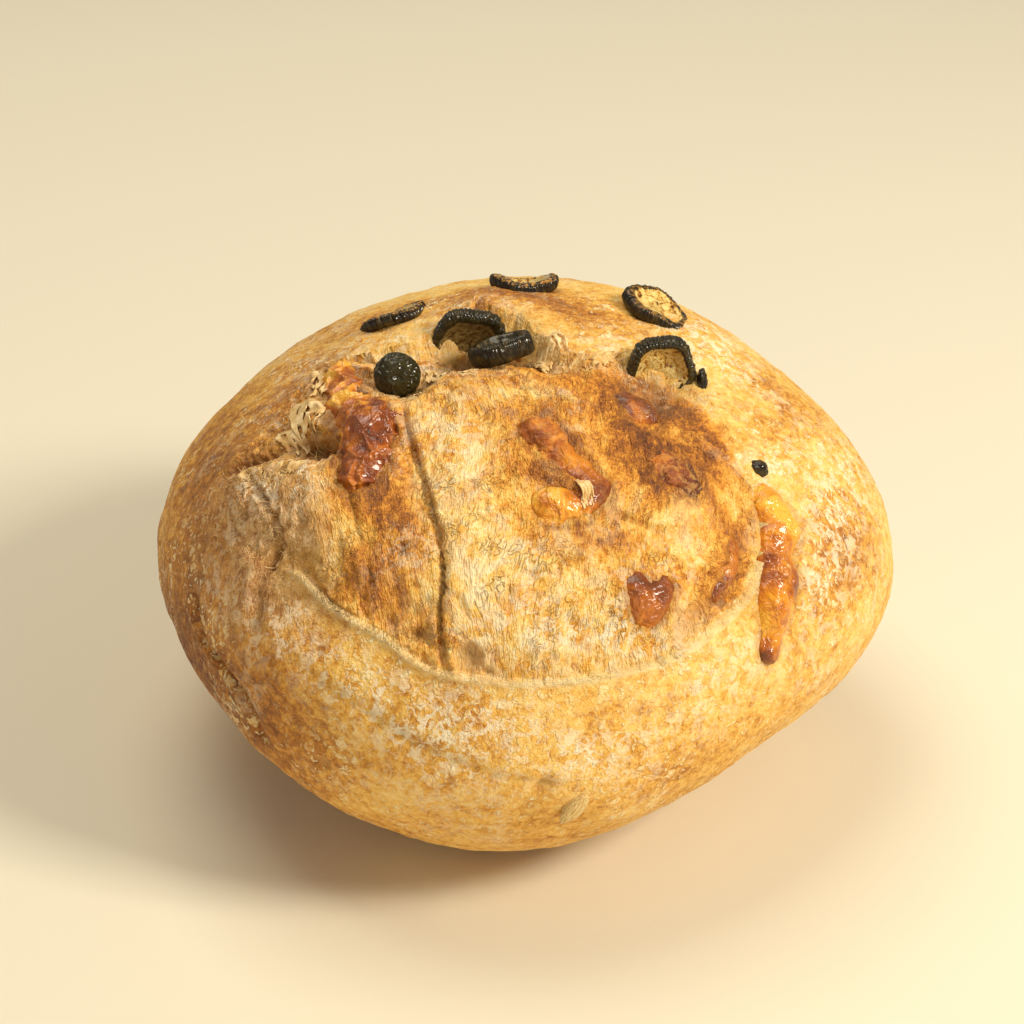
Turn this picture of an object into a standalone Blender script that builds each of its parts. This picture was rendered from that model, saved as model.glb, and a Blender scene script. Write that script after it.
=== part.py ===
"""A round sourdough loaf with pepper slices and cheese baked into it.

The loaf sits on a flat base at z = 0, with its torn, opened face towards -Y. Metres, +Z up.
Every radius of the loaf starts at its heart. Places on the open face are given in face
coordinates: u to the right, v up the face and w out of it, on a plane leaning back by
FACE_TILT. Places on the crust are given as a bearing round the heart and a height angle.
"""

import bmesh
import bpy
import numpy as np
from math import cos, pi, radians, sin
from mathutils import Matrix, Vector, noise

MM = 0.001

# The body: a flattened ball, fuller to the right, whose underside is cut off flat at z = 0
HEART = np.array([-8.7, 0.4, 60.4]) * MM
HALF_WIDTH, HALF_DEPTH = 102.5 * MM, 114 * MM
CROWN, UNDERSIDE = 73 * MM, 70.5 * MM
CROWN_POWER, UNDERSIDE_POWER = 2.06, 1.9
# Swellings of the dough: bearing, height angle, rise in mm, spread in degrees
SWELLINGS = [(0, 0, 15.4, 22), (80, 60, 2.6, 22), (149, 42, -3.5, 22), (-161, -30, -8.3, 22),
             (-126, -54, -1, 22), (-19, -30, -7.6, 22), (30, 42, 4.8, 16), (-92, -45, 3.9, 18),
             (180, -8, 2.4, 20), (-12, -14, 5.7, 20)]

# The open face, in face coordinates in mm
FACE_TILT = radians(30)
LOWER_LIP = [(-78, 23), (-71, 8), (-62, 0), (-53, -4), (-46, -11), (-29, -21), (-19, -28), (-1, -31.5),
             (24, -31.5), (47, -26), (63, -16), (70, -8), (74, 6), (73, 20)]
UPPER_LIP = [(73, 20), (68, 31), (63, 41), (56, 50), (38, 58), (19, 60), (10.6, 67), (-4.6, 72), (-19, 65),
             (-34, 60), (-49, 55), (-56, 49), (-61, 41), (-73, 28), (-78, 23)]
# The crust lifts towards the upper lip as an ear, and the open dough falls away below it. The ear is at its
# full height only in the middle, and a low share of it is left at the sides.
EAR_RISE, EAR_LENGTH = 4.5 * MM, 13 * MM
EAR_DROP, EAR_UNDERCUT = 5.0 * MM, 8 * MM
EAR_MIDDLE, EAR_REACH, EAR_LOW_SHARE = 2 * MM, 26 * MM, 0.4
# The lower lip has a thin raised edge, which is missing at the loaf's left shoulder
RIM_RISE, RIM_WIDTH = 1.6 * MM, 3 * MM
RIM_DROP, RIM_RECOVERY = 2.4 * MM, 12 * MM
RIM_FADES_LEFT_OF = (-62, -50)
# The open dough swells out a little, and the step at its lips is this wide
BLOOM_SWELL, BLOOM_SWELL_REACH = 2.5 * MM, 28 * MM
LIP_STEP = 1.0 * MM

# Hollows in the open face: u, v, half length, half width, turn in degrees, depth, all in mm
HOLLOWS = {
    "pepper_hollow": (-4, 63, 17, 6.5, 4, 12),
    "torn_pocket": (18, 57.5, 9, 3.5, -8, 5),
    "tip_hollow": (-28.5, 52, 8, 7, 0, 7),
    "bubble_by_tip": (-20.5, 55, 5, 4.5, 0, 4),
    "long_tear": (-52, 31, 9, 3.4, 3, 9),
    "short_tear": (-69, 27, 8, 2.2, 25, 6),
    "cheese_left_bed": (-40, 40, 17, 8, -65, 2.5),
    "front_slice_bed": (47, 47, 11, 7, 0, 6),
}
# Soft lumps of dough: u, v, half length, half width, turn, rise
LUMPS = {
    "left_lump": (-66, 17, 13, 8, -55, 3),
    "middle_lump": (-52, 17, 13, 8, -70, 3),
    "grey_blister": (-68, -8, 10, 4.5, 84, 2.4),
    "blister_hood": (-69, 1, 7, 2.2, -35, 1.5),
    "shoulder_roll": (-60, -26, 22, 10, -30, 2.5),
}
# Creases in the dough: route in face coordinates, depth, and how much lower the dough lies on the right
# hand of someone who walks the route
CREASES = {
    "long_crease": ([(-25, 40), (-19, 20), (-14.5, 5), (-13.5, -6), (-14.8, -15), (-14, -27)], 1.8, 2.2),
    "panel_crease": ([(-40, 20), (-36.5, 6), (-33.5, -6)], 0.8, -1.2),
    "shoulder_crease": ([(-67, 23), (-61, 16), (-57.5, 7), (-64, -6), (-64, -20)], 1.7, 0.0),
    "left_fold": ([(-86, -11), (-82, -22), (-72, -36), (-65, -50)], 3.0, 1.2),
}
CREASE_WIDTH, CREASE_STEP_REACH = 2.0 * MM, 14 * MM
UNDULATION, UNDULATION_SIZE = 0.9 * MM, 26 * MM
CRAG, CRAG_SIZE = 0.9 * MM, 9 * MM

# Mesh: the dense ball keeps this share of its triangles
BALL_SUBDIVISIONS = 8
KEPT_SHARE = 0.019

BASE_FLATNESS = 0.3 * MM

# The seed stuck to the front of the crust
SEED_BEARING, SEED_HEIGHT = -79, -7.5
SEED_LENGTH, SEED_WIDTH, SEED_THICKNESS = 12.5 * MM, 5.6 * MM, 3.6 * MM

# Pepper slices: middle in face coordinates, radius and thickness, all in mm, and the slice's axis as
# amounts of u, v and w
PEPPER_SLICES = {
    "pepper_slice_left": ((-31, 71.0, 11), 10.0, 3.8, (-0.375, 0.925, 0.08)),
    "pepper_slice_top": ((8.4, 81.8, 5), 9.8, 4.4, (0.0, 0.985, 0.17)),
    "pepper_slice_right": ((47.5, 73.6, 12.4), 10.8, 4.2, (0.48, 0.77, 0.43)),
    "pepper_slice_front": ((47.4, 55.0, 39.6), 9.8, 5.6, (0.10, -0.50, 0.86)),
    "pepper_slice_inner": ((-8, 63.4, 26), 11.2, 4.6, (0.0, -0.70, 0.71)),
    "pepper_slice_outer": ((1.8, 60.3, 41), 9.0, 6.2, (-0.29, 0.93, 0.22)),
}
SLICE_SIDES = 20
SLICE_WAVES = 5
SLICE_WAVE_DEPTH = 0.05
# Profile of a slice from the middle of its upper face round the skin to the middle of its lower face,
# as shares of its radius and of its thickness
SLICE_PROFILE = [(0.0, 0.62), (0.5, 0.66), (0.70, 0.93), (0.90, 1.0), (1.0, 0.80), (1.0, 0.22), (0.92, 0.0),
                 (0.0, 0.04)]

# The pepper's tip: middle in face coordinates, radius and half height in mm
PEPPER_TIP = ((-28.5, 52.4, 45), 6.6, 5.8)
# Scraps of pepper: u, v, depth under the crust, and half sizes along u, v and w, all in mm
PEPPER_SCRAPS = {
    "pepper_scrap_front": (59.6, 51.3, 0.6, (1.6, 3.6, 2.6)),
    "pepper_scrap_right": (74.4, 25.4, 0.6, (2.8, 2.6, 2.6)),
}

# Cheese: balls along a run in face coordinates: u, v, radius, and how far each middle lies under the crust
CHEESE_RUNS = {
    "cheese_left": [(-48, 54.5, 5.0, 1.4), (-46.5, 49.5, 7.4, 3.0), (-44, 43.5, 7.2, 3.0),
                    (-39, 40, 7.6, 2.4), (-35, 34.5, 10.4, 4.6), (-35.5, 27.5, 9.6, 4.4),
                    (-37.5, 22.5, 6.2, 2.4)],
    "cheese_middle": [(11.5, 34, 6.6, 2.8), (16, 29, 6.4, 3.6), (21.5, 24, 6.6, 4.2), (26, 18, 6.6, 4.0),
                      (22.5, 13.5, 5.4, 3.2), (15.5, 14, 6.8, 3.2)],
    "cheese_upper": [(38.8, 44, 6.4, 2.4), (41.5, 40.3, 7.6, 3.2)],
    "cheese_dark": [(46, 25.5, 7.0, 4.8), (49.5, 22, 8.4, 5.8), (53, 19, 6.0, 4.0)],
    "cheese_lower": [(37.5, -7.5, 5.0, 3.0), (40.5, -12.5, 7.0, 3.4), (44.5, -8, 4.8, 2.8)],
    "cheese_streak": [(65, 3, 4.0, 2.6), (64, -3, 4.6, 3.0), (60.5, -9, 4.0, 2.8)],
    "cheese_right": [(75, 18.5, 3.4, 2.0), (76.5, 14.5, 5.6, 1.6), (80.5, 8, 7.2, 2.0), (77.5, 1.5, 5.0, 1.6),
                     (79, -6, 7.4, 2.0), (77, -13, 6.6, 1.6), (76, -20, 3.8, 0.6), (75.3, -25, 3.6, 0.4)],
}
BALLS_PER_SPAN = 4
CHEESE_VOXEL = 1.8 * MM
CHEESE_SMOOTHING = 3
CHEESE_KEPT_SHARE = 0.2

# Between a topping and the socket that it has pressed into the dough
SOCKET_GAP = 0.45 * MM

# Colours as linear RGB
CRUST_COLOUR = (0.62, 0.36, 0.13, 1)
PEPPER_COLOUR = (0.045, 0.05, 0.012, 1)
CHEESE_COLOUR = (0.50, 0.14, 0.025, 1)

RIGHT = np.array([1.0, 0.0, 0.0])
UP_FACE = np.array([0.0, sin(FACE_TILT), cos(FACE_TILT)])
OUT_OF_FACE = np.array([0.0, -cos(FACE_TILT), sin(FACE_TILT)])


def material(name, colour, roughness):
    """A plain Principled material."""
    made = bpy.data.materials.new(name)
    made.use_nodes = True
    shader = made.node_tree.nodes["Principled BSDF"]
    shader.inputs["Base Color"].default_value = colour
    shader.inputs["Roughness"].default_value = roughness
    return made


def add_object(name, bm, finish=None):
    """Turns a bmesh into an object of the scene, shaded smooth."""
    mesh = bpy.data.meshes.new(name)
    bm.to_mesh(mesh)
    bm.free()
    mesh.shade_smooth()
    made = bpy.data.objects.new(name, mesh)
    bpy.context.scene.collection.objects.link(made)
    if finish:
        mesh.materials.append(finish)
    return made


def direction(bearing, height):
    """Unit vector from the heart at a bearing and a height angle in degrees."""
    a, e = radians(bearing), radians(height)
    return np.array([cos(a) * cos(e), sin(a) * cos(e), sin(e)])


def smooth_step(low, high, x):
    t = np.clip((x - low) / (high - low), 0, 1)
    return t * t * (3 - 2 * t)


def smooth_route(handles, per_span=6):
    """Points of a Catmull-Rom curve through the handles, given in mm and returned in metres."""
    p = np.array(handles, float) * MM
    p = np.vstack([2 * p[0] - p[1], p, 2 * p[-1] - p[-2]])
    route = []
    for i in range(1, len(p) - 2):
        for t in np.arange(per_span) / per_span:
            route.append(0.5 * (2 * p[i] + (p[i + 1] - p[i - 1]) * t
                                + (2 * p[i - 1] - 5 * p[i] + 4 * p[i + 1] - p[i + 2]) * t ** 2
                                + (3 * p[i] - p[i - 1] - 3 * p[i + 1] + p[i + 2]) * t ** 3))
    return np.array(route + [p[-2]])


def along_route(uv, route):
    """Each point's distance to a route, how far along the route it is, and whether it lies to its right."""
    best = np.full(len(uv), np.inf)
    share = np.zeros(len(uv))
    to_right = np.zeros(len(uv), bool)
    for i, (a, b) in enumerate(zip(route[:-1], route[1:])):
        along = b - a
        t = np.clip((uv - a) @ along / (along @ along), 0, 1)
        away = uv - (a + t[:, None] * along)
        gap = np.hypot(away[:, 0], away[:, 1])
        nearer = gap < best
        best[nearer] = gap[nearer]
        share[nearer] = (i + t[nearer]) / (len(route) - 1)
        to_right[nearer] = along[0] * away[nearer, 1] < along[1] * away[nearer, 0]
    return best, share, to_right


def inside_outline(uv, outline):
    """True for the points inside a closed outline."""
    inside = np.zeros(len(uv), bool)
    for a, b in zip(outline, np.roll(outline, -1, axis=0)):
        crosses = (a[1] > uv[:, 1]) != (b[1] > uv[:, 1])
        rise = b[1] - a[1] if b[1] != a[1] else 1e-12
        inside ^= crosses & (uv[:, 0] < a[0] + (uv[:, 1] - a[1]) * (b[0] - a[0]) / rise)
    return inside


def soft_spot(uv, u, v, half_length, half_width, turn):
    """1 at the middle of a turned oval, falling smoothly to 0 outside it."""
    a = radians(turn)
    du, dv = uv[:, 0] - u * MM, uv[:, 1] - v * MM
    along = (du * cos(a) + dv * sin(a)) / (half_length * MM)
    across = (dv * cos(a) - du * sin(a)) / (half_width * MM)
    return np.exp(-((along ** 2 + across ** 2) ** 1.5))


def body_radius(d):
    """The plain body's radius along unit directions d."""
    level = np.hypot(d[:, 0] / HALF_WIDTH, d[:, 1] / HALF_DEPTH)
    upper = d[:, 2] > 0
    upright = np.abs(d[:, 2]) / np.where(upper, CROWN, UNDERSIDE)
    power = np.where(upper, CROWN_POWER, UNDERSIDE_POWER)
    r = (level ** power + upright ** power) ** (-1 / power)
    for bearing, height, rise, spread in SWELLINGS:
        turn = np.degrees(np.arccos(np.clip(d @ direction(bearing, height), -1, 1)))
        r = r + rise * MM * np.exp(-0.5 * (turn / spread) ** 2)
    return r


def face_relief(uv):
    """How far the open face, its lips, hollows, lumps and creases stand off the plain body."""
    lower, upper = smooth_route(LOWER_LIP), smooth_route(UPPER_LIP)
    from_lower = along_route(uv, lower)[0]
    from_upper = along_route(uv, upper)[0]
    inside = inside_outline(uv, np.vstack([lower, upper[1:-1]]))
    depth = np.minimum(from_lower, from_upper) * np.where(inside, 1, -1)
    upper_share = from_lower / (from_lower + from_upper)
    opened = smooth_step(-LIP_STEP, LIP_STEP, depth)
    within, beyond = np.maximum(depth, 0), np.minimum(depth, 0)
    edge = smooth_step(*(x * MM for x in RIM_FADES_LEFT_OF), uv[:, 0])
    strength = EAR_LOW_SHARE + (1 - EAR_LOW_SHARE) * np.exp(-((uv[:, 0] - EAR_MIDDLE) / EAR_REACH) ** 4)
    ear = np.where(opened > 0.5, -EAR_DROP * np.exp(-within / EAR_UNDERCUT),
                   EAR_RISE * np.exp(beyond / EAR_LENGTH))
    rim = np.where(opened > 0.5, -RIM_DROP * np.exp(-within / RIM_RECOVERY),
                   RIM_RISE * np.exp(beyond / RIM_WIDTH))
    rise = strength * upper_share ** 2 * ear + edge * (1 - upper_share) ** 2 * rim
    rise = rise + BLOOM_SWELL * smooth_step(0, BLOOM_SWELL_REACH, within)
    for u, v, half_length, half_width, turn, deep in HOLLOWS.values():
        rise = rise - deep * MM * soft_spot(uv, u, v, half_length, half_width, turn)
    for u, v, half_length, half_width, turn, high in LUMPS.values():
        rise = rise + high * MM * soft_spot(uv, u, v, half_length, half_width, turn)
    for handles, deep, step in CREASES.values():
        gap, share, to_right = along_route(uv, smooth_route(handles))
        fade = smooth_step(0, 0.15, share) * smooth_step(0, 0.15, 1 - share)
        rise = rise - deep * MM * np.exp(-((gap / CREASE_WIDTH) ** 2))
        rise = rise - step * MM * fade * np.where(to_right, np.exp(-gap / CREASE_STEP_REACH), 0)
    return rise, opened


def loaf_points(d):
    """The loaf's surface along unit directions d from its heart."""
    r = body_radius(d)
    plain = r[:, None] * d
    uv = np.stack([plain @ RIGHT, plain @ UP_FACE], axis=1)
    front = smooth_step(-10 * MM, 12 * MM, plain @ OUT_OF_FACE)
    rise, opened = face_relief(uv)
    swell = np.array([noise.noise(Vector(p / UNDULATION_SIZE)) for p in plain])
    crag = np.array([noise.noise(Vector(p / CRAG_SIZE)) for p in plain])
    r = r + front * rise + UNDULATION * swell + CRAG * crag * front * opened
    return HEART + r[:, None] * d


def on_crust(bearing, height):
    """The crust's point at a bearing and a height angle."""
    return Vector(loaf_points(direction(bearing, height)[None])[0])


def on_face(u, v, depth):
    """The open face's point at u, v, taken depth towards the heart, all in mm."""
    line = (u * RIGHT + v * UP_FACE + np.linspace(110, 0, 441)[:, None] * OUT_OF_FACE) * MM
    reach = np.linalg.norm(line, axis=1)
    d = line / reach[:, None]
    hit = np.argmax(reach < body_radius(d))
    return Vector(loaf_points(d[hit][None])[0] - depth * MM * d[hit])


def at_face_place(place, axis):
    """Where a piece stands: its middle in face coordinates in mm, and its own Z turned along an axis."""
    along = axis[0] * RIGHT + axis[1] * UP_FACE + axis[2] * OUT_OF_FACE
    middle = HEART + (place[0] * RIGHT + place[1] * UP_FACE + place[2] * OUT_OF_FACE) * MM
    return Matrix.Translation(middle) @ Vector(along).to_track_quat("Z", "Y").to_matrix().to_4x4()


def make_loaf(finish):
    """The loaf: a dense ball pushed out to the loaf's surface, thinned, and cut flat underneath."""
    bm = bmesh.new()
    bmesh.ops.create_icosphere(bm, subdivisions=BALL_SUBDIVISIONS, radius=1)
    d = np.array([v.co for v in bm.verts])
    for vert, point in zip(bm.verts, loaf_points(d / np.linalg.norm(d, axis=1)[:, None])):
        vert.co = point
    every = bm.verts[:] + bm.edges[:] + bm.faces[:]
    bmesh.ops.bisect_plane(bm, geom=every, dist=1e-6, plane_co=(0, 0, 0), plane_no=(0, 0, -1),
                           clear_outer=True)
    bmesh.ops.holes_fill(bm, edges=[e for e in bm.edges if e.is_boundary])
    dense = add_object("dense_ball", bm)
    thin = dense.modifiers.new("Thin", "DECIMATE")
    thin.ratio = KEPT_SHARE
    bm = bmesh.new()
    bm.from_object(dense, bpy.context.evaluated_depsgraph_get())
    bpy.data.objects.remove(dense)
    for vert in bm.verts:
        if vert.co.z < BASE_FLATNESS:
            vert.co.z = 0
    return add_object("loaf", bm, finish)


def combine(loaf, operation, others):
    """Joins other bodies to the loaf or cuts them out of it, and drops any scrap that comes loose."""
    group = bpy.data.collections.new("others")
    bpy.context.scene.collection.children.link(group)
    for other in others:
        group.objects.link(other)
    boolean = loaf.modifiers.new("Combine", "BOOLEAN")
    boolean.operation = operation
    boolean.operand_type = "COLLECTION"
    boolean.collection = group
    bpy.context.view_layer.update()
    bm = bmesh.new()
    bm.from_object(loaf, bpy.context.evaluated_depsgraph_get())
    loaf.modifiers.clear()
    for other in others:
        bpy.data.objects.remove(other)
    bpy.data.collections.remove(group)
    pieces = []
    unseen = set(bm.faces)
    while unseen:
        piece, front = set(), [unseen.pop()]
        while front:
            face = front.pop()
            piece.add(face)
            joined = {other for edge in face.edges if edge.is_manifold for other in edge.link_faces} & unseen
            unseen -= joined
            front += joined
        pieces.append(piece)
    loose = set(bm.faces) - max(pieces, key=len)
    bmesh.ops.delete(bm, geom=list(loose), context="FACES")
    bm.to_mesh(loaf.data)
    bm.free()


def fuse_seed(loaf):
    """Fuses the seed to the front of the crust."""
    outward = Vector(direction(SEED_BEARING, SEED_HEIGHT))
    bm = bmesh.new()
    bmesh.ops.create_uvsphere(bm, u_segments=10, v_segments=6, radius=0.5)
    bmesh.ops.scale(bm, vec=(SEED_WIDTH, SEED_THICKNESS, SEED_LENGTH), verts=bm.verts)
    seed = add_object("seed", bm)
    upright = Vector(UP_FACE) + 0.45 * Vector(RIGHT)
    side = upright.cross(outward).normalized()
    turn = Matrix((side, outward, side.cross(outward))).transposed().to_4x4()
    seed.matrix_world = Matrix.Translation(on_crust(SEED_BEARING, SEED_HEIGHT) + 0.6 * MM * outward) @ turn
    combine(loaf, "UNION", [seed])


def make_slice(name, place, radius, thickness, axis, finish, phase):
    """A pepper slice: a turned profile with a wavy rim, laid on or stuck into the dough."""
    bm = bmesh.new()
    rim = [bm.verts.new((r * radius * MM, 0, (z - 0.5) * thickness * MM)) for r, z in SLICE_PROFILE]
    edges = [bm.edges.new(pair) for pair in zip(rim[:-1], rim[1:])]
    bmesh.ops.spin(bm, geom=rim + edges, cent=(0, 0, 0), axis=(0, 0, 1), angle=2 * pi, steps=SLICE_SIDES,
                   use_merge=True)
    bmesh.ops.remove_doubles(bm, verts=bm.verts, dist=1e-6)
    for vert in bm.verts:
        angle = np.arctan2(vert.co.y, vert.co.x)
        wave = 1 + SLICE_WAVE_DEPTH * sin(SLICE_WAVES * angle + phase)
        vert.co.x *= wave
        vert.co.y *= wave * (1 - SLICE_WAVE_DEPTH * sin(phase))
        vert.co.z += 0.4 * MM * sin(2 * angle + phase)
    bmesh.ops.recalc_face_normals(bm, faces=bm.faces)
    made = add_object(name, bm, finish)
    made.matrix_world = at_face_place(place, axis)
    return made


def make_tip(finish):
    """The blunt end of a pepper, stuck in its own hollow."""
    place, radius, half_height = PEPPER_TIP
    bm = bmesh.new()
    bmesh.ops.create_icosphere(bm, subdivisions=2, radius=1)
    bmesh.ops.scale(bm, vec=(radius * MM, radius * MM, half_height * MM), verts=bm.verts)
    made = add_object("pepper_tip", bm, finish)
    made.matrix_world = at_face_place(place, (0, 0, 1))
    return made


def make_scrap(name, u, v, depth, half_sizes, finish):
    """A small squashed scrap of pepper, pressed into the crust."""
    bm = bmesh.new()
    bmesh.ops.create_icosphere(bm, subdivisions=2, radius=MM)
    bmesh.ops.scale(bm, vec=half_sizes, verts=bm.verts)
    turn = Matrix((RIGHT, UP_FACE, OUT_OF_FACE)).transposed().to_4x4()
    bmesh.ops.transform(bm, matrix=turn, verts=bm.verts)
    made = add_object(name, bm, finish)
    made.location = on_face(u, v, depth)
    return made


def make_cheese(name, run, finish):
    """A run of cheese: balls strung closely along it, melted into one skin by a voxel remesh."""
    run = np.array(run, float)
    bm = bmesh.new()
    for k in range((len(run) - 1) * BALLS_PER_SPAN + 1):
        i, t = divmod(k / BALLS_PER_SPAN, 1)
        here = run[int(i)]
        u, v, radius, depth = here + t * (run[min(int(i) + 1, len(run) - 1)] - here)
        ball_place = Matrix.Translation(on_face(u, v, depth))
        bmesh.ops.create_icosphere(bm, subdivisions=3, radius=radius * MM, matrix=ball_place)
    made = add_object(name, bm, finish)
    melt = made.modifiers.new("Melt", "REMESH")
    melt.mode = "VOXEL"
    melt.voxel_size = CHEESE_VOXEL
    smooth = made.modifiers.new("Slump", "SMOOTH")
    smooth.iterations = CHEESE_SMOOTHING
    thin = made.modifiers.new("Thin", "DECIMATE")
    thin.ratio = CHEESE_KEPT_SHARE
    return made


def press_sockets(loaf, toppings):
    """Each topping presses its own socket into the dough, a little larger than itself."""
    sockets = []
    for topping in toppings:
        socket = topping.copy()
        swell = socket.modifiers.new("Gap", "DISPLACE")
        swell.mid_level = 0
        swell.strength = SOCKET_GAP
        sockets.append(socket)
    combine(loaf, "DIFFERENCE", sockets)


def main():
    for old in list(bpy.data.objects):
        bpy.data.objects.remove(old)
    crust = material("crust", CRUST_COLOUR, 0.75)
    pepper = material("pepper", PEPPER_COLOUR, 0.4)
    cheese = material("cheese", CHEESE_COLOUR, 0.25)
    loaf = make_loaf(crust)
    fuse_seed(loaf)
    toppings = [make_slice(name, *sizes, pepper, phase)
                for phase, (name, sizes) in enumerate(PEPPER_SLICES.items())]
    toppings.append(make_tip(pepper))
    toppings += [make_scrap(name, *sizes, pepper) for name, sizes in PEPPER_SCRAPS.items()]
    toppings += [make_cheese(name, run, cheese) for name, run in CHEESE_RUNS.items()]
    press_sockets(loaf, toppings)


main()
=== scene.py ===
from math import cos, pi, radians, sin

import bmesh
import bpy
import numpy as np
from mathutils import Matrix, Vector, noise


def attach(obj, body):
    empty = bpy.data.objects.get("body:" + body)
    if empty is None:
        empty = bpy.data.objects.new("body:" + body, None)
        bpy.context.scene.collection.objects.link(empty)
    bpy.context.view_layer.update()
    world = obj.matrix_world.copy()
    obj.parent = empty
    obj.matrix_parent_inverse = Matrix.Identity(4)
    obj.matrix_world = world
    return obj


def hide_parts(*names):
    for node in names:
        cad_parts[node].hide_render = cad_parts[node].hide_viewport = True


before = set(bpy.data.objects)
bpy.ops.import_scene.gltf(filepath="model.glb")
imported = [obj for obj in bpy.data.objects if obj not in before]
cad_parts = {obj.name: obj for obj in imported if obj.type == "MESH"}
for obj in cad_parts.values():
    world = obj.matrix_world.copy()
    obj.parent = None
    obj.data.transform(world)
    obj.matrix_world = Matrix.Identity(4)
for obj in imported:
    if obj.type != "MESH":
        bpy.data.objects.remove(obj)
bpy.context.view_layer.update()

# The loaf: one ball of sourdough, baked free on its own base. It burst open along one slash, so crumb
# shows in the torn face and bubbly crust all round it. Places on the torn face are given as u to the right
# and v up the face, in mm from the loaf's heart, on a plane that leans back by FACE_TILT.
MM = 0.001
HEART = np.array([-8.7, 0.4, 60.4]) * MM
HALF_WIDTH, HALF_DEPTH = 102.5 * MM, 114 * MM
CROWN, UNDERSIDE = 73 * MM, 70.5 * MM
CROWN_POWER, UNDERSIDE_POWER = 2.06, 1.9
# Swellings of the dough: bearing, height angle, rise in mm, spread in degrees
SWELLINGS = [(0, 0, 15.4, 22), (80, 60, 2.6, 22), (149, 42, -3.5, 22), (-161, -30, -8.3, 22),
             (-126, -54, -1, 22), (-19, -30, -7.6, 22), (30, 42, 4.8, 16), (-92, -45, 3.9, 18),
             (180, -8, 2.4, 20), (-12, -14, 5.7, 20)]
FACE_TILT = radians(30)
RIGHT = np.array([1.0, 0.0, 0.0])
UP_FACE = np.array([0.0, sin(FACE_TILT), cos(FACE_TILT)])
OUT_OF_FACE = np.array([0.0, -cos(FACE_TILT), sin(FACE_TILT)])
LOWER_LIP = [(-78, 23), (-71, 8), (-62, 0), (-53, -4), (-46, -11), (-29, -21), (-19, -28), (-1, -31.5),
             (24, -31.5), (47, -26), (63, -16), (70, -8), (74, 6), (73, 20)]
UPPER_LIP = [(73, 20), (68, 31), (63, 41), (56, 50), (38, 58), (19, 60), (10.6, 67), (-4.6, 72),
             (-19, 65), (-34, 60), (-49, 55), (-56, 49), (-61, 41), (-73, 28), (-78, 23)]
EAR_RISE, EAR_LENGTH = 4.5 * MM, 13 * MM
EAR_DROP, EAR_UNDERCUT = 5.0 * MM, 8 * MM
EAR_MIDDLE, EAR_REACH, EAR_LOW_SHARE = 2 * MM, 26 * MM, 0.4
RIM_RISE, RIM_WIDTH, RIM_SHARPNESS = 1.6 * MM, 3 * MM, 0.4
RIM_DROP, RIM_RECOVERY = 2.4 * MM, 12 * MM
BLOOM_SWELL, BLOOM_SWELL_REACH = 2.5 * MM, 28 * MM
LIP_STEP = 1.0 * MM
# How far the torn lips wander, in mm at the low and the high end of the face, and the size of their waves
LIP_WANDER, LIP_WANDER_MORE, LIP_WANDER_SIZE = 0.25, 1.5, 7 * MM
LIP_LINE_WIDTH, RAGGED_REACH = 0.8 * MM, 4.5 * MM
CRUMB_EDGE, CRUMB_FADES_LEFT_OF = (0.2, 2.6), (-51, -43)
EAR_FADES_RIGHT_OF, EAR_FADES_LEFT_OF = (7, 22), (-50, -36)
LIP_FADES_LEFT_OF = (-62, -50)
# Hollows, each with u, v, half length, half width, turn in degrees, depth
HOLLOWS = [(-4, 63, 17, 6.5, 4, 12), (18, 57.5, 9, 3.5, -8, 5), (-28.5, 52, 8, 7, 0, 7),
           (-20.5, 55, 5, 4.5, 0, 4), (-52, 31, 9, 3.4, 3, 9), (-69, 27, 8, 2.2, 25, 6),
           (-40, 40, 17, 8, -65, 2.5), (47, 47, 11, 7, 0, 6)]
# Burst bubbles with a thin brown floor
BUBBLES = [(-7.5, -26, 4.6, 3.8, 80, 2.0), (-20, -20.6, 3.6, 2.6, 0, 1.5), (53, -17, 8.0, 4.2, 55, 1.5),
           (-46.1, 45.5, 1.8, 1.5, 0, 2.5), (-50.5, 42, 1.6, 1.3, 0, 2.2), (-54, 33, 2.2, 1.4, 30, 2.5),
           (13, -60, 3.2, 1.5, 40, 1.6), (-47, -56, 2.6, 1.3, -30, 1.4), (-17, 30, 1.6, 1.0, 80, 1.2),
           (33, 12, 1.8, 1.2, 10, 1.2), (30, -14, 1.6, 1.2, 10, 1.0)]
# Soft lumps: u, v, half length, half width, turn, rise
LUMPS = [(-66, 17, 13, 8, -55, 4.2), (-52, 17, 13, 8, -70, 4.0), (-68, -8, 10, 4.5, 84, 3.0),
         (-69, 1, 7, 2.2, -35, 1.8), (-60, -26, 22, 10, -30, 2.5), (20, 42, 9, 5, -20, 1.2),
         (6, 8, 14, 6, -70, 0.8), (38, 10, 14, 7, 60, 0.9)]
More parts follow.
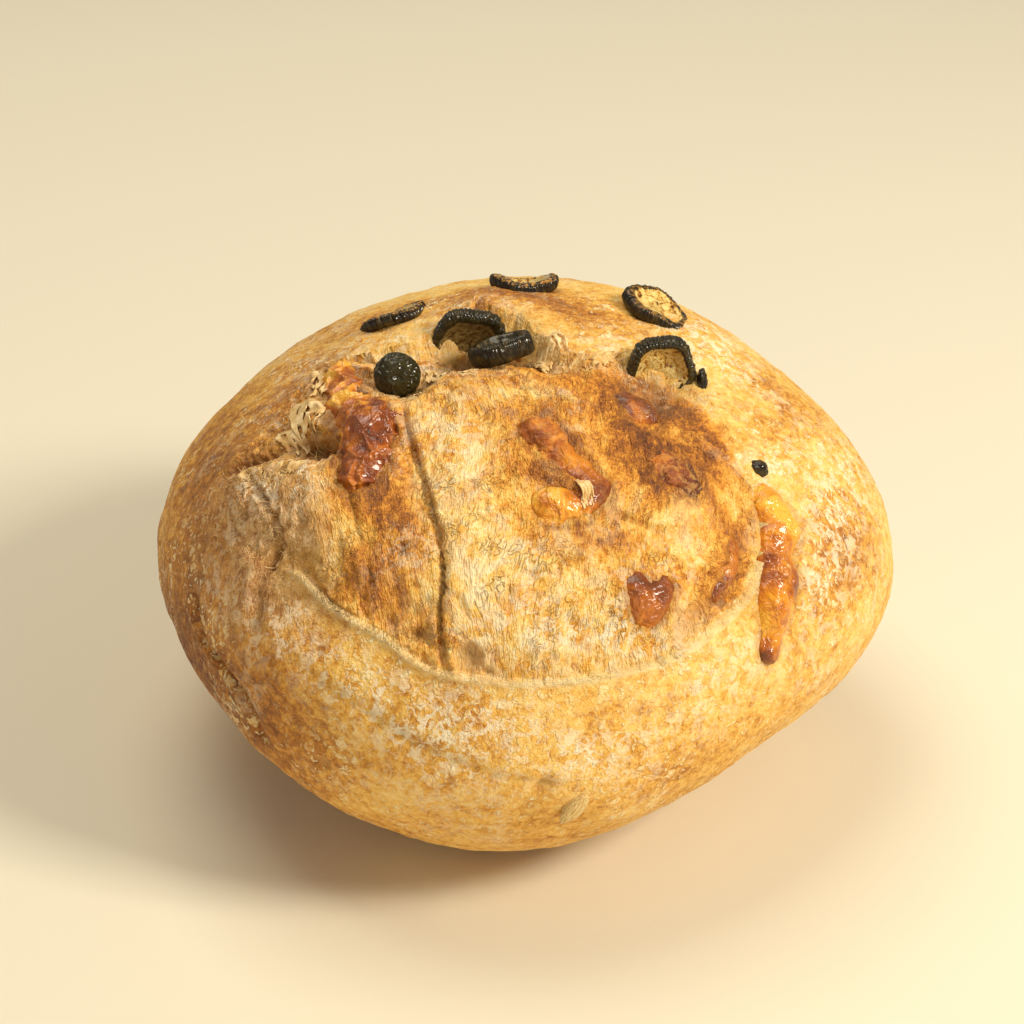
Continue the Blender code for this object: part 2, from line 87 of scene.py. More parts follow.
# Where melted cheese broke out, as runs of balls: u, v, radius and depth of the middle under the crust
CHEESE_RUNS = {
    "cheese_left": [(-48, 54.5, 5.0, 1.4), (-46.5, 49.5, 7.4, 3.0), (-44, 43.5, 7.2, 3.0),
                    (-39, 40, 7.6, 2.4), (-35, 34.5, 10.4, 4.6),
                    (-35.5, 27.5, 9.6, 4.4), (-37.5, 22.5, 6.2, 2.4)],
    "cheese_middle": [(11.5, 34, 6.6, 2.8), (16, 29, 6.4, 3.6), (21.5, 24, 6.6, 4.2), (26, 18, 6.6, 4.0),
                      (22.5, 13.5, 5.4, 3.2), (15.5, 14, 6.8, 3.2)],
    "cheese_upper": [(38.8, 44, 6.4, 2.4), (41.5, 40.3, 7.6, 3.2)],
    "cheese_dark": [(46, 25.5, 7.0, 4.8), (49.5, 22, 8.4, 5.8), (53, 19, 6.0, 4.0)],
    "cheese_lower": [(37.5, -7.5, 5.0, 3.0), (40.5, -12.5, 7.0, 3.4), (44.5, -8, 4.8, 2.8)],
    "cheese_streak": [(65, 3, 4.0, 2.6), (64, -3, 4.6, 3.0), (60.5, -9, 4.0, 2.8)],
    "cheese_right": [(75, 18.5, 3.4, 2.0), (76.5, 14.5, 5.6, 1.6), (80.5, 8, 7.2, 2.0),
                     (77.5, 1.5, 5.0, 1.6), (79, -6, 7.4, 2.0), (77, -13, 6.6, 1.6),
                     (76, -20, 3.8, 0.6), (75.3, -25, 3.6, 0.4)],
}
# Creases: route, depth, and how much lower the dough lies on the right hand of one who walks it
CREASES = [([(-25, 40), (-19, 20), (-14.5, 5), (-13.5, -6), (-14.8, -15), (-14, -27)], 2.4, 2.2),
           ([(-40, 20), (-36.5, 6), (-33.5, -6)], 0.9, -1.2),
           ([(-67, 23), (-61, 16), (-57.5, 7), (-64, -6), (-64, -20)], 1.9, 0.0),
           ([(-86, -11), (-82, -22), (-72, -36), (-65, -50)], 3.0, 1.2),
           ([(-56, -24), (-39, -37), (-20, -48.8), (1, -57), (17, -60)], 0.5, 0.9),
           ([(14, 49), (16.5, 44), (16, 38)], 0.9, 0.0), ([(29, 15), (34, 12), (43, 8)], 1.0, 0.4),
           ([(42, 35), (50, 34), (57, 30), (60, 22)], 0.8, 0.5), ([(36, 31), (40, 25), (43, 17)], 0.7, 0.0),
           ([(-27, 38), (-24, 28), (-19, 12)], 0.5, 0.3), ([(60, 12), (66, 9), (67, 3)], 0.8, 0.0)]
# Rough lumps of drawn-out crust, greyish brown, their colour also darkened there as painted shade: u, v,
# half length, half width, turn, strength
DUSTY_AND_SHADED = [(-66, 12, 16, 10, -65, 1.0), (-51, 12, 15, 8, -72, 0.9), (-68, -8, 11, 6, 84, 1.0),
         (-56, -12, 12, 9, 0, 0.7), (-80, 4, 16, 8, 80, 0.5)]
# The smooth skin of a large bubble at the left
SMOOTH_BLISTER = (-68, -8, 9, 4.2, 84)
CREASE_WIDTH, CREASE_STEP_REACH = 1.0 * MM, 14 * MM
# A drawn-out thread of crumb stands up beside each crease, by a share of the crease's depth
CREASE_THREAD_GAP, CREASE_THREAD_RISE = 1.9 * MM, 0.35
BUBBLE_RIM_RISE, BUBBLE_RIM_REACH = 0.5 * MM, 1.35
CHEESE_RIM, SCORCH_REACH = 0.7 * MM, 4.5
UNDULATION, UNDULATION_SIZE = 0.9 * MM, 26 * MM
CRAG, CRAG_SIZE = 0.9 * MM, 9 * MM


def direction(bearing, height):
    a, e = radians(bearing), radians(height)
    return np.array([cos(a) * cos(e), sin(a) * cos(e), sin(e)])


def smooth_step(low, high, x):
    t = np.clip((x - low) / (high - low), 0, 1)
    return t * t * (3 - 2 * t)


def smooth_route(handles, per_span=6):
    """Points of a Catmull-Rom curve through the handles, given in mm and returned in metres."""
    p = np.array(handles, float) * MM
    p = np.vstack([2 * p[0] - p[1], p, 2 * p[-1] - p[-2]])
    route = []
    for i in range(1, len(p) - 2):
        for t in np.arange(per_span) / per_span:
            route.append(0.5 * (2 * p[i] + (p[i + 1] - p[i - 1]) * t
                                + (2 * p[i - 1] - 5 * p[i] + 4 * p[i + 1] - p[i + 2]) * t ** 2
                                + (3 * p[i] - p[i - 1] - 3 * p[i + 1] + p[i + 2]) * t ** 3))
    return np.array(route + [p[-2]])


def along_route(uv, route):
    """Each point's distance to a route, the share of it passed there, and whether it lies to its right."""
    best = np.full(len(uv), np.inf)
    share = np.zeros(len(uv))
    to_right = np.zeros(len(uv), bool)
    for i, (a, b) in enumerate(zip(route[:-1], route[1:])):
        along = b - a
        t = np.clip((uv - a) @ along / (along @ along), 0, 1)
        away = uv - (a + t[:, None] * along)
        gap = np.hypot(away[:, 0], away[:, 1])
        nearer = gap < best
        best[nearer] = gap[nearer]
        share[nearer] = (i + t[nearer]) / (len(route) - 1)
        to_right[nearer] = along[0] * away[nearer, 1] < along[1] * away[nearer, 0]
    return best, share, to_right


def inside_outline(uv, outline):
    inside = np.zeros(len(uv), bool)
    for a, b in zip(outline, np.roll(outline, -1, axis=0)):
        crosses = (a[1] > uv[:, 1]) != (b[1] > uv[:, 1])
        rise = b[1] - a[1] if b[1] != a[1] else 1e-12
        inside ^= crosses & (uv[:, 0] < a[0] + (uv[:, 1] - a[1]) * (b[0] - a[0]) / rise)
    return inside


def soft_spot(uv, u, v, half_length, half_width, turn, power=1.5):
    """1 at the middle of a turned oval, falling smoothly to 0 outside it."""
    a = radians(turn)
    du, dv = uv[:, 0] - u * MM, uv[:, 1] - v * MM
    along = (du * cos(a) + dv * sin(a)) / (half_length * MM)
    across = (dv * cos(a) - du * sin(a)) / (half_width * MM)
    return np.exp(-((along ** 2 + across ** 2) ** power))


def body_radius(d):
    """The plain body's radius along unit directions d."""
    level = np.hypot(d[:, 0] / HALF_WIDTH, d[:, 1] / HALF_DEPTH)
    upper = d[:, 2] > 0
    upright = np.abs(d[:, 2]) / np.where(upper, CROWN, UNDERSIDE)
    power = np.where(upper, CROWN_POWER, UNDERSIDE_POWER)
    r = (level ** power + upright ** power) ** (-1 / power)
    for bearing, height, rise, spread in SWELLINGS:
        turn = np.degrees(np.arccos(np.clip(d @ direction(bearing, height), -1, 1)))
        r = r + rise * MM * np.exp(-0.5 * (turn / spread) ** 2)
    return r


def noise_at(points, size, octaves=1):
    """Cloudy noise from -1 to 1 at each point, with lumps of about the given size."""
    scaled = points / size
    if octaves == 1:
        return np.array([noise.noise(p) for p in scaled.tolist()])
    return np.array([noise.fractal(p, 0.9, 2.1, octaves) for p in scaled.tolist()])


def open_face(uv):
    """Depth inside the torn face's outline, and how near a place is to the upper lip, 0 to 1."""
    lower, upper = smooth_route(LOWER_LIP), smooth_route(UPPER_LIP)
    from_lower, from_upper = along_route(uv, lower)[0], along_route(uv, upper)[0]
    inside = inside_outline(uv, np.vstack([lower, upper[1:-1]]))
    depth = np.minimum(from_lower, from_upper) * np.where(inside, 1, -1)
    return depth, from_lower / (from_lower + from_upper + 1e-9)


def loaf_surface(d, fine=True):
    """The loaf's surface along unit directions d from its heart, and the masks that its colours read."""
    r = body_radius(d)
    plain = r[:, None] * d
    uv = np.stack([plain @ RIGHT, plain @ UP_FACE], axis=1)
    front = smooth_step(-10 * MM, 12 * MM, plain @ OUT_OF_FACE)
    if fine:
        wander = np.stack([noise_at(plain + k, LIP_WANDER_SIZE, 2) for k in (0, 0.5)], axis=1)
        reach = LIP_WANDER + LIP_WANDER_MORE * smooth_step(20 * MM, 55 * MM, uv[:, 1])
        lip_uv = uv + MM * wander * reach[:, None]
    else:
        lip_uv = uv
    depth, upper_share = open_face(lip_uv)
    step = LIP_STEP * (1 + (1.2 * upper_share if fine else 0))
    opened = smooth_step(-step, step, depth)
    within, beyond = np.maximum(depth, 0), np.minimum(depth, 0)
    edge = smooth_step(*(x * MM for x in LIP_FADES_LEFT_OF), uv[:, 0])
    strength = EAR_LOW_SHARE + (1 - EAR_LOW_SHARE) * np.exp(-((uv[:, 0] - EAR_MIDDLE) / EAR_REACH) ** 4)
    if fine:
        strength = strength * (1 - 0.65 * smooth_step(*(x * MM for x in EAR_FADES_RIGHT_OF), uv[:, 0]))
        strength = strength * (0.3 + 0.7 * smooth_step(*(x * MM for x in EAR_FADES_LEFT_OF), uv[:, 0]))
    ear = strength * upper_share ** 2 * np.where(opened > 0.5, -EAR_DROP * np.exp(-within / EAR_UNDERCUT),
                                                 EAR_RISE * np.exp(beyond / EAR_LENGTH))
    rim_width = RIM_WIDTH * (RIM_SHARPNESS if fine else 1)
    rim = (1 - upper_share) ** 2 * edge * np.where(opened > 0.5, -RIM_DROP * np.exp(-within / RIM_RECOVERY),
                                                   RIM_RISE * np.exp(beyond / rim_width))
    rise = ear + rim + BLOOM_SWELL * smooth_step(0, BLOOM_SWELL_REACH, within)
    hollow = np.zeros(len(d))
    for u, v, half_length, half_width, turn, deep in HOLLOWS:
        spot = soft_spot(uv, u, v, half_length, half_width, turn, 1.2 if fine else 1.5)
        rise = rise - deep * MM * spot
        hollow = np.maximum(hollow, spot * min(deep / 8, 1))
    for u, v, half_length, half_width, turn, high in LUMPS:
        rise = rise + high * MM * soft_spot(uv, u, v, half_length, half_width, turn)
    bubble = np.zeros(len(d))
    crease_char_and_shade = np.zeros(len(d))
    scorch = np.zeros(len(d))
    for run in CHEESE_RUNS.values() if fine else ():
        run = np.array(run)
        for a, b in zip(run[:-1], run[1:]):
            near, share, _ = along_route(lip_uv, np.array([a[:2], b[:2]]) * MM)
            radius, below = (a[k] + share * (b[k] - a[k]) for k in (2, 3))
            gap = near / MM - np.sqrt(radius ** 2 - below ** 2) + 0.4
            rise = rise + CHEESE_RIM * np.exp(-((gap - 1) / 2.2) ** 2) * opened
            # the dark ring round each cheese is a painted contact shadow
            crease_char_and_shade = np.maximum(crease_char_and_shade, 0.75 * np.exp(-((gap + 0.2) / 0.9) ** 2))
            scorch = np.maximum(scorch, np.exp(-(np.maximum(gap, 0) / SCORCH_REACH) ** 2))
    for handles, deep, step in CREASES:
        gap, share, to_right = along_route(lip_uv, smooth_route(handles))
        fade = smooth_step(0, 0.15, share) * smooth_step(0, 0.15, 1 - share)
        line = np.exp(-((gap / CREASE_WIDTH) ** 2))
        if fine:
            thread = np.exp(-(((gap - CREASE_THREAD_GAP) / CREASE_WIDTH) ** 2)) * to_right
            rise = rise + CREASE_THREAD_RISE * deep * MM * thread * fade
        lowered = np.where(to_right, np.exp(-gap / CREASE_STEP_REACH), 0)
        rise = rise - deep * MM * line - step * MM * fade * lowered
        crease_char_and_shade = np.maximum(crease_char_and_shade, line ** 2 * min(deep / 2, 1))
    rise = rise + CRAG * noise_at(plain, CRAG_SIZE) * opened
    if fine:
        for u, v, half_length, half_width, turn, deep in BUBBLES:
            spot = soft_spot(lip_uv, u, v, half_length, half_width, turn, 3)
            half_sizes = half_length * BUBBLE_RIM_REACH, half_width * BUBBLE_RIM_REACH
            ring = soft_spot(lip_uv, u, v, *half_sizes, turn, 3) - spot
            rise = rise - deep * MM * spot + BUBBLE_RIM_RISE * ring
            bubble = np.maximum(bubble, spot)
    r = r + front * rise + UNDULATION * noise_at(plain, UNDULATION_SIZE)
    lip_line = (1 - upper_share) * edge * np.exp(-((depth + 0.5 * MM) / LIP_LINE_WIDTH) ** 2)
    dusty_and_shaded = np.clip(sum(s[5] * soft_spot(lip_uv, *s[:5], 1.2) for s in DUSTY_AND_SHADED), 0, 1)
    ragged = np.maximum(upper_share ** 3 * np.exp(-(within / RAGGED_REACH) ** 2) * opened, hollow)
    smooth = soft_spot(uv, *SMOOTH_BLISTER, 3)
    torn = np.maximum(np.maximum(opened, hollow), 0.9 * dusty_and_shaded) * (1 - 0.85 * smooth)
    crumb = smooth_step(*(x * MM for x in CRUMB_EDGE), depth)
    crumb = crumb * smooth_step(*(x * MM for x in CRUMB_FADES_LEFT_OF), lip_uv[:, 0])
    masks = {"opened": crumb, "hollow": hollow, "bubble": bubble, "crease_char_and_shade": crease_char_and_shade, "scorched": scorch,
             "pale_lip_and_highlight": lip_line, "torn": torn, "dusty_and_shaded": dusty_and_shaded, "ragged": ragged}
    return HEART + r[:, None] * d, uv, front, {name: value * front for name, value in masks.items()}


BALL_SUBDIVISIONS = 7
bm = bmesh.new()
bmesh.ops.create_icosphere(bm, subdivisions=BALL_SUBDIVISIONS, radius=1)


def finer_where(bm, wanted):
    """Quarters the triangles of the ball whose corners all lie in the wanted region."""
    d = np.array([v.co for v in bm.verts])
    near = wanted(d / np.linalg.norm(d, axis=1)[:, None])
    bm.verts.index_update()
    edges = {edge for face in bm.faces if all(near[v.index] for v in face.verts) for edge in face.edges}
    bmesh.ops.subdivide_edges(bm, edges=list(edges), cuts=1, use_grid_fill=True)
    for vert in bm.verts:
        vert.co.normalize()
    bmesh.ops.triangulate(bm, faces=bm.faces)


def in_torn_face(d):
    plain = body_radius(d)[:, None] * d
    depth, _ = open_face(np.stack([plain @ RIGHT, plain @ UP_FACE], axis=1))
    return (depth > -3 * MM) & (plain @ OUT_OF_FACE > 0)


def near_torn_edges(d):
    plain = body_radius(d)[:, None] * d
    uv = np.stack([plain @ RIGHT, plain @ UP_FACE], axis=1)
    gap = along_route(uv, smooth_route(UPPER_LIP[4:]))[0]
    low_gap = along_route(uv, smooth_route(LOWER_LIP[3:9]))[0]
    spots = [soft_spot(uv, u, v, 1.2 * half_length, 1.3 * half_width, turn)
             for u, v, half_length, half_width, turn, _ in HOLLOWS[:6]]
    near = (gap < 3.5 * MM) | (low_gap < 2 * MM) | (np.max(spots, axis=0) > 0.35)
    return near & (plain @ OUT_OF_FACE > 0)


finer_where(bm, in_torn_face)
finer_where(bm, near_torn_edges)
d = np.array([v.co for v in bm.verts])
d /= np.linalg.norm(d, axis=1)[:, None]
points, uv, front, masks = loaf_surface(d)

# Where the crumb is toasted, where the crust is browner, and where flour lies, each spot with u, v,
# half length, half width, turn and strength
TOASTED = [(-29, 12, 24, 10, -82, 0.75), (-31, -6, 16, 9, -80, 0.5), (28, 34, 24, 12, -50, 0.5),
           (46, 46, 14, 9, -20, 0.8), (44, 30, 16, 13, -50, 0.75), (17, 22, 18, 8, -60, 0.45),
           (64, -2, 14, 6, 75, 0.8), (40, -9, 9, 8, 0, 0.5), (-2, 52, 14, 5, 10, 0.55),
           (22, 50, 14, 5, -5, 0.5), (-40, 44, 18, 9, -60, 0.5), (60, 20, 14, 8, 80, 0.4),
           (30, 5, 9, 3, 5, 0.45), (-48, 52, 9, 4, 50, 0.7), (3, 40, 5, 3, 0, 0.4),
           (58, 36, 14, 4, -60, 0.5)]
BROWNED = [(-8, 76, 26, 5, 5, 0.5), (22, 73, 22, 4, -8, 0.9), (34, 66, 16, 4, -10, 0.5),
           (-40, 72, 16, 6, 30, 0.4), (-75, -45, 34, 22, -35, 0.75), (-90, -10, 34, 14, 80, 0.6),
           (-80, 30, 26, 14, 60, 0.4), (98, 8, 24, 12, 80, 0.4), (84, 44, 16, 8, -40, 0.35),
           (-60, 45, 20, 6, 45, 0.35), (60, -52, 30, 8, 30, 0.3)]
FLOURED = [(98, 14, 22, 11, 78, 0.9), (80, 24, 12, 6, 70, 0.5), (-64, 21, 8, 4, -30, 0.7),
           (-51, 21, 8, 4, -20, 0.6), (-54, 40, 9, 8, 60, 0.6), (88, -20, 14, 10, 50, 0.3),
           (-34, -36, 26, 9, -35, 0.9), (-6, -46, 22, 8, -22, 0.7), (30, -50, 26, 9, 15, 0.6),
           (62, -34, 16, 8, 40, 0.5), (-22, 57, 12, 7, 10, 0.8), (20, 62, 12, 3, -5, 0.6),
           (5, -12, 22, 18, 0, 0.5), (30, -20, 26, 6, -5, 0.6), (-68, -8, 9, 4, 84, 0.15),
           (-10, 30, 8, 18, 0, 0.6), (60, 62, 16, 8, -40, 0.7), (-8, 70, 16, 4, 5, 0.5)]
paint = {"toasted": TOASTED, "browned": BROWNED, "floured": FLOURED}
for name, spots in paint.items():
    masks[name] = front * np.clip(sum(s[5] * soft_spot(uv, *s[:5], 1.0) for s in spots), 0, 1)


def finished(name, bm, body_material, nodes=(), attributes=None):
    """Makes a piece of the loaf from a bmesh, shaded smooth, riding on the loaf's one body."""
    mesh = bpy.data.meshes.new(name)
    bm.to_mesh(mesh)
    bm.free()
    mesh.shade_smooth()
    mesh.materials.append(body_material)
    for key, values in (attributes or {}).items():
        mesh.attributes.new(key, "FLOAT", "POINT").data.foreach_set("value", np.asarray(values, np.float32))
    piece = bpy.data.objects.new(name, mesh)
    bpy.context.scene.collection.objects.link(piece)
    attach(piece, "root")
    if nodes:
        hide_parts(*nodes)
    return piece


def new_material(name, roughness):
    """A material with a Principled shader. Returns it with its tree and that shader."""
    made = bpy.data.materials.new(name)
    made.use_nodes = True
    shader = made.node_tree.nodes["Principled BSDF"]
    shader.inputs["Roughness"].default_value = roughness
    return made, made.node_tree, shader


def put(tree, kind, settings=None, inputs=None):
    """Adds a shader node with its settings and inputs. An input that is a socket is linked."""
    node = tree.nodes.new(kind)
    for key, value in (settings or {}).items():
        setattr(node, key, value)
    for key, value in (inputs or {}).items():
        if isinstance(value, bpy.types.NodeSocket):
            tree.links.new(value, node.inputs[key])
        else:
            node.inputs[key].default_value = value
    return node


def ramp(tree, factor, stops):
    """A colour ramp through (place, colour) stops. Colours are linear RGB."""
    node = put(tree, "ShaderNodeValToRGB", inputs={"Fac": factor})
    elements = node.color_ramp.elements
    while len(elements) < len(stops):
        elements.new(0.5)
    for element, (place, colour) in zip(elements, stops):
        element.position = place
        element.color = (*colour, 1) if len(colour) == 3 else (colour[0],) * 3 + (1,)
    return node.outputs["Color"]


def cloud(tree, coordinates, scale, detail=3, roughness=0.55, distortion=0.0):
    made = put(tree, "ShaderNodeTexNoise", inputs={"Vector": coordinates, "Scale": scale, "Detail": detail,
                                                   "Roughness": roughness, "Distortion": distortion})
    return made.outputs["Fac"]


def sums(tree, operation, a, b, clamp=False):
    node = put(tree, "ShaderNodeMath", {"operation": operation, "use_clamp": clamp})
    for i, value in enumerate((a, b)):
        if isinstance(value, bpy.types.NodeSocket):
            tree.links.new(value, node.inputs[i])
        else:
            node.inputs[i].default_value = value
    return node.outputs[0]


def blend(tree, factor, a, b, kind="MIX"):
    """Colour a with colour b laid over it."""
    node = tree.nodes.new("ShaderNodeMix")
    node.data_type = "RGBA"
    node.blend_type = kind
    for key, value in ((0, factor), (6, a), (7, b)):
        if isinstance(value, bpy.types.NodeSocket):
            tree.links.new(value, node.inputs[key])
        elif key == 0:
            node.inputs[0].default_value = value
        else:
            node.inputs[key].default_value = (*value, 1)
    return node.outputs[2]


def stretched(tree, value, contrast):
    """A value spread away from its middle of 0.5, and kept from 0 to 1."""
    spread = sums(tree, "MULTIPLY", sums(tree, "SUBTRACT", value, 0.5), contrast)
    return sums(tree, "ADD", spread, 0.5, clamp=True)


# Thin lines, for cracks, fibres and wrinkles: 1 where a cloudy value is 0.5, falling to 0 beside it
thin_lines = bpy.data.node_groups.new("thin_lines", "ShaderNodeTree")
for socket in ("Cloud", "Sharpness"):
    thin_lines.interface.new_socket(socket, in_out="INPUT", socket_type="NodeSocketFloat")
thin_lines.interface.new_socket("Line", in_out="OUTPUT", socket_type="NodeSocketFloat")
given = thin_lines.nodes.new("NodeGroupInput").outputs
away = sums(thin_lines, "ABSOLUTE", sums(thin_lines, "SUBTRACT", given["Cloud"], 0.5), 0.0)
line = sums(thin_lines, "SUBTRACT", 1.0, sums(thin_lines, "MULTIPLY", away, given["Sharpness"]), clamp=True)
thin_lines.links.new(line, thin_lines.nodes.new("NodeGroupOutput").inputs["Line"])


def lines(tree, value, sharpness):
    """The thin lines of a cloudy value."""
    group = put(tree, "ShaderNodeGroup", {"node_tree": thin_lines}, {"Cloud": value, "Sharpness": sharpness})
    return group.outputs["Line"]


def weighed(tree, *parts):
    """The sum of shader values, each times its weight."""
    total = 0.0
    for value, weight in parts:
        total = sums(tree, "ADD", total, sums(tree, "MULTIPLY", value, weight))
    return total


def mask(tree, name):
    return put(tree, "ShaderNodeAttribute", {"attribute_name": name}).outputs["Fac"]


def between(tree, value, low, high):
    """0 below low, 1 above high and smooth between."""
    node = put(tree, "ShaderNodeMapRange", {"interpolation_type": "SMOOTHSTEP"},
               {"Value": value, "From Min": low, "From Max": high})
    return node.outputs["Result"]


crust, tree, shader = new_material("crust", 0.72)
place = put(tree, "ShaderNodeTexCoord").outputs["Object"]
# crust: golden tan, clouded, browner in the painted places and along fine cracks, and darker on the left
# side as painted shade
grain = cloud(tree, place, 1100, 2, 0.7)
mottle = stretched(tree, cloud(tree, place, 300, 2, 0.7, 0.6), 2.2)
cracks = lines(tree, cloud(tree, place, 310, 3, 0.75, 0.9), 14.0)
brown = weighed(tree, (mask(tree, "browned"), 0.40), (mask(tree, "clouds"), 0.28), (mottle, 0.40),
                (cracks, 0.14))
crust_colour = ramp(tree, brown, [(0.08, (0.95, 0.69, 0.27)), (0.30, (0.90, 0.56, 0.140)),
                                  (0.46, (0.79, 0.40, 0.058)), (0.66, (0.50, 0.185, 0.016)),
                                  (0.95, (0.18, 0.048, 0.004))])
# pale floury blisters in two sizes
wobble = put(tree, "ShaderNodeTexNoise", inputs={"Vector": place, "Scale": 520.0, "Detail": 0.0})
wobble = wobble.outputs["Color"]
shift = put(tree, "ShaderNodeVectorMath", {"operation": "SCALE"}, {0: wobble, "Scale": 0.0035})
moved = put(tree, "ShaderNodeVectorMath", {"operation": "ADD"}, {0: place, 1: shift.outputs["Vector"]})
moved = moved.outputs["Vector"]
blisters = 0.0
for scale, fewest, size in ((270, 0.40, 0.52), (680, 0.25, 0.58)):
    cells = put(tree, "ShaderNodeTexVoronoi", inputs={"Vector": moved, "Scale": scale, "Randomness": 1.0})
    chance = put(tree, "ShaderNodeSeparateColor", inputs={"Color": cells.outputs["Color"]})
    radius = sums(tree, "MULTIPLY", between(tree, chance.outputs[0], fewest, 1.0), size)
    inside = between(tree, sums(tree, "SUBTRACT", radius, cells.outputs["Distance"]), 0.0, 0.14)
    blisters = sums(tree, "MAXIMUM", inside, blisters)
blister_cover = sums(tree, "MULTIPLY", blisters, weighed(tree, (mask(tree, "patchy"), 0.60), (1.0, 0.18)))
blister_colour = ramp(tree, grain, [(0.38, (0.76, 0.45, 0.13)), (0.50, (0.95, 0.70, 0.31)),
                                    (0.60, (0.98, 0.87, 0.58))])
crust_colour = blend(tree, blister_cover, crust_colour, blister_colour)
# crumb: cream, toasted orange to brown, drawn out in long fibres with dark fissures between them
flow = put(tree, "ShaderNodeAttribute", {"attribute_name": "flow"}).outputs["Vector"]
patch_place = put(tree, "ShaderNodeMapping", inputs={"Vector": flow, "Scale": (1.0, 2.4, 2.4)})
patch_place = patch_place.outputs["Vector"]
even = sums(tree, "SUBTRACT", 1.0, mask(tree, "ragged"))
strands = sums(tree, "MULTIPLY", lines(tree, cloud(tree, flow, 420, 3, 0.65, 0.2), 7.0), even)
threads = sums(tree, "MULTIPLY", lines(tree, cloud(tree, flow, 1500, 2, 0.6, 0.2), 5.0), even)
crackle = lines(tree, cloud(tree, moved, 420, 2, 0.7, 0.8), 12.0)
patches = stretched(tree, cloud(tree, patch_place, 230, 4, 0.75, 0.4), 3.4)
# the crumb's clouds also darken the left side as painted shade
toast = weighed(tree, (mask(tree, "toasted"), 0.35), (mask(tree, "scorched"), 0.12),
                (mask(tree, "crumb_clouds_and_left_shade"), 0.22), (patches, 0.36), (strands, -0.11),
                (threads, -0.08), (crackle, 0.20), (1.0, 0.02))
crumb_colour = ramp(tree, toast, [(0.02, (0.96, 0.72, 0.33)), (0.18, (0.93, 0.58, 0.15)),
                                  (0.34, (0.86, 0.43, 0.060)), (0.50, (0.70, 0.265, 0.018)),
                                  (0.68, (0.40, 0.125, 0.008)), (0.92, (0.12, 0.03, 0.004))])
cream = between(tree, cloud(tree, patch_place, 100, 3, 0.75, 0.4), 0.50, 0.62)
cream = sums(tree, "MULTIPLY", cream, weighed(tree, (mask(tree, "toasted"), -0.6), (1.0, 0.45)), clamp=True)
crumb_colour = blend(tree, cream, crumb_colour, (0.97, 0.79, 0.48))
fissures = lines(tree, cloud(tree, patch_place, 300, 2, 0.75, 0.8), 20.0)
fissures = sums(tree, "MULTIPLY", fissures, mask(tree, "fissured"))
crumb_colour = blend(tree, sums(tree, "MULTIPLY", fissures, 0.55), crumb_colour, (0.30, 0.09, 0.010))
colour = blend(tree, mask(tree, "opened"), crust_colour, crumb_colour)
# the rough lumps at the left get their own greyish brown, darkened further as painted shade
dust_and_shade = ramp(tree, toast, [(0.02, (0.84, 0.58, 0.32)), (0.24, (0.62, 0.33, 0.105)),
                          (0.50, (0.34, 0.135, 0.026))])
colour = blend(tree, mask(tree, "dusty_and_shaded"), colour, dust_and_shade)
flour = between(tree, cloud(tree, moved, 240, 3, 0.75, 0.5), 0.46, 0.60)
flour = sums(tree, "MULTIPLY", mask(tree, "floured"), flour)
colour = blend(tree, flour, colour, (0.94, 0.78, 0.54))
# painted shade darkens the hollows
colour = blend(tree, sums(tree, "MULTIPLY", mask(tree, "hollow"), 0.75), colour, (0.26, 0.13, 0.05))
# dark along creases: the crumb's charred streaks there and painted shade in them, and a painted contact
# shadow round each cheese
colour = blend(tree, sums(tree, "MULTIPLY", mask(tree, "crease_char_and_shade"), 0.55), colour, (0.20, 0.07, 0.012))
colour = blend(tree, sums(tree, "MULTIPLY", mask(tree, "bubble"), 0.5), colour, (0.62, 0.35, 0.12))
# a pale line along the lower lip: the lip's own pale edge and a painted highlight on it
colour = blend(tree, sums(tree, "MULTIPLY", mask(tree, "pale_lip_and_highlight"), 0.6), colour, (0.96, 0.76, 0.40))
tree.links.new(colour, shader.inputs["Base Color"])
dullness = put(tree, "ShaderNodeMapRange", inputs={"Value": grain, "To Min": 0.45, "To Max": 0.85})
tree.links.new(dullness.outputs["Result"], shader.inputs["Roughness"])
closed = sums(tree, "SUBTRACT", 1.0, mask(tree, "torn"))
crust_height = weighed(tree, (blisters, 0.35), (grain, 0.8))
crumb_height = weighed(tree, (strands, 0.60), (threads, 0.32), (fissures, -0.7), (grain, 0.5))
height = sums(tree, "ADD", sums(tree, "MULTIPLY", crust_height, closed),
              sums(tree, "MULTIPLY", crumb_height, mask(tree, "torn")))
bump = put(tree, "ShaderNodeBump", inputs={"Height": height, "Distance": 0.0010, "Strength": 0.75})
tree.links.new(bump.outputs["Normal"], shader.inputs["Normal"])

for vert, point in zip(bm.verts, points):
    vert.co = point
bm.normal_update()
# stretched crumb has strands that run up the face, with lumps and pits between them, and crust has low
# bubbles
STRAND_WIDTH, STRAND_STRETCH = 2.0 * MM, 0.26
SWIRL, SWIRL_SIZE = 7 * MM, 34 * MM
swirl = np.stack([noise_at(points + k, SWIRL_SIZE) for k in (1, 2, 3)], axis=1)
flow = (points + SWIRL * swirl) @ np.array([RIGHT, STRAND_STRETCH * UP_FACE, STRAND_STRETCH * OUT_OF_FACE]).T
along_strands = flow / STRAND_WIDTH
strand = 1 - 3.2 * np.abs(noise_at(along_strands, 1, 3))
stranded = 1 - 0.9 * masks["ragged"]
shaggy = noise_at(points + 0.6, 3.0 * MM, 4)
crumb_relief = (stranded * (0.30 * np.maximum(strand, -0.6) + 0.35 * noise_at(along_strands + 5, 1.6, 3))
                + (0.35 + 0.9 * masks["ragged"] + 0.45 * masks["dusty_and_shaded"]) * shaggy
                + 0.8 * noise_at(points, 8 * MM, 3)
                - 0.8 * smooth_step(0.36, 0.62, noise_at(points + 0.2, 3.4 * MM, 2)))
